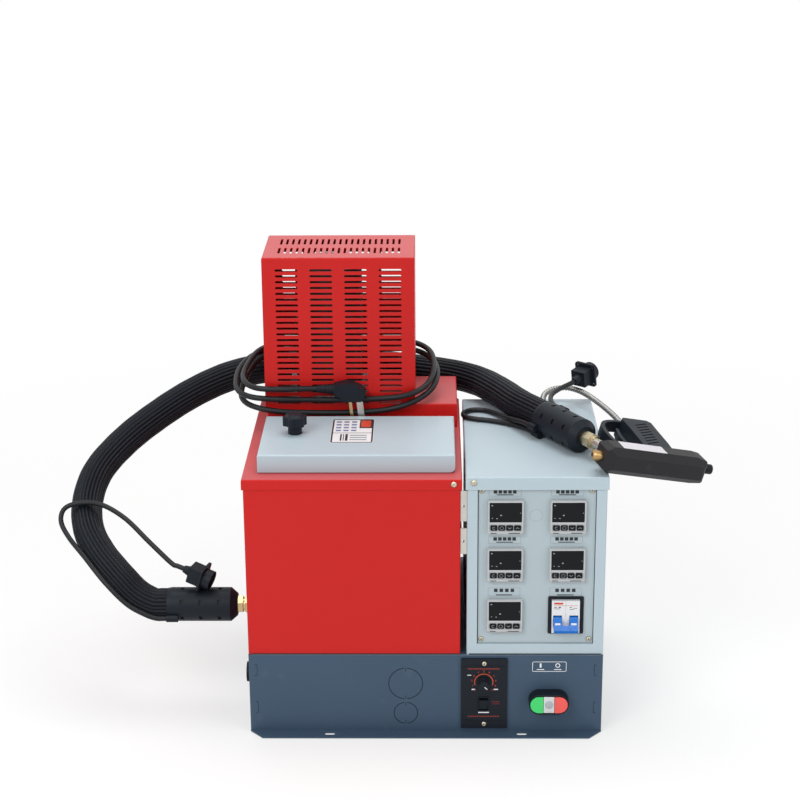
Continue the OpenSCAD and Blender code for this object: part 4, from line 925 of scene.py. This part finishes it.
def studio():
    """White world, brighter where it is seen than where it lights."""
    world = bpy.data.worlds.new("studio")
    scene.world = world
    world.use_nodes = True
    tree = world.node_tree
    link = tree.links.new
    light = tree.nodes["Background"]
    seen = tree.nodes.new("ShaderNodeBackground")
    for background, strength in ((light, WORLD_LIGHT), (seen, WORLD_SEEN)):
        background.inputs["Color"].default_value = (1, 1, 1, 1)
        background.inputs["Strength"].default_value = strength
    mix = tree.nodes.new("ShaderNodeMixShader")
    link(seen_rays(tree), mix.inputs["Fac"])
    link(light.outputs[0], mix.inputs[1])
    link(seen.outputs[0], mix.inputs[2])
    link(mix.outputs[0], tree.nodes["World Output"].inputs["Surface"])


def floor_white():
    """Matt white that glows more with distance, so that it runs into the backdrop."""
    material = bpy.data.materials.new("floor_white")
    material.use_nodes = True
    tree = material.node_tree
    link = tree.links.new
    shader = tree.nodes["Principled BSDF"]
    shader.inputs["Base Color"].default_value = (0.94, 0.94, 0.94, 1)
    shader.inputs["Roughness"].default_value = 0.9
    shader.inputs["Specular IOR Level"].default_value = 0.1
    glow = tree.nodes.new("ShaderNodeEmission")
    glow.inputs["Strength"].default_value = 1.0
    where = tree.nodes.new("ShaderNodeTexCoord")
    far = tree.nodes.new("ShaderNodeVectorMath")
    far.operation = "LENGTH"
    link(where.outputs["Object"], far.inputs[0])
    fade = tree.nodes.new("ShaderNodeMapRange")
    fade.interpolation_type = "SMOOTHSTEP"
    fade.inputs["From Min"].default_value = FADE_FROM
    fade.inputs["From Max"].default_value = FADE_TO
    fade.inputs["To Min"].default_value = GLOW_NEAR
    fade.inputs["To Max"].default_value = GLOW_FAR
    link(far.outputs["Value"], fade.inputs["Value"])
    both = tree.nodes.new("ShaderNodeMath")
    both.operation = "MULTIPLY"
    link(fade.outputs["Result"], both.inputs[0])
    link(seen_rays(tree), both.inputs[1])
    mix = tree.nodes.new("ShaderNodeMixShader")
    link(both.outputs[0], mix.inputs["Fac"])
    link(shader.outputs[0], mix.inputs[1])
    link(glow.outputs[0], mix.inputs[2])
    link(mix.outputs[0], tree.nodes["Material Output"].inputs["Surface"])
    return material


def floor():
    h = FLOOR_HALF
    mesh = bpy.data.meshes.new("floor")
    mesh.from_pydata([(-h, -h, 0), (h, -h, 0), (h, h, 0), (-h, h, 0)], [], [(0, 1, 2, 3)])
    mesh.materials.append(floor_white())
    obj = bpy.data.objects.new("floor", mesh)
    obj.location.z = FLOOR_Z
    scene.collection.objects.link(obj)


def lamp(name, place, size, power):
    data = bpy.data.lights.new(name, "AREA")
    data.shape, data.size, data.size_y, data.energy = "RECTANGLE", size[0], size[1], power
    obj = bpy.data.objects.new(name, data)
    obj.location = place
    obj.rotation_euler = (Vector(AIM) - Vector(place)).to_track_quat("-Z", "Y").to_euler()
    scene.collection.objects.link(obj)


studio()
floor()
lamp("key", (-1.7, -2.6, 2.6), (1.8, 1.8), 55)
lamp("fill", (2.4, -2.0, 1.6), (1.6, 1.6), 16)
lamp("top", (0.1, 0.4, 3.0), (2.2, 1.6), 40)
scene.view_settings.view_transform = "Standard"
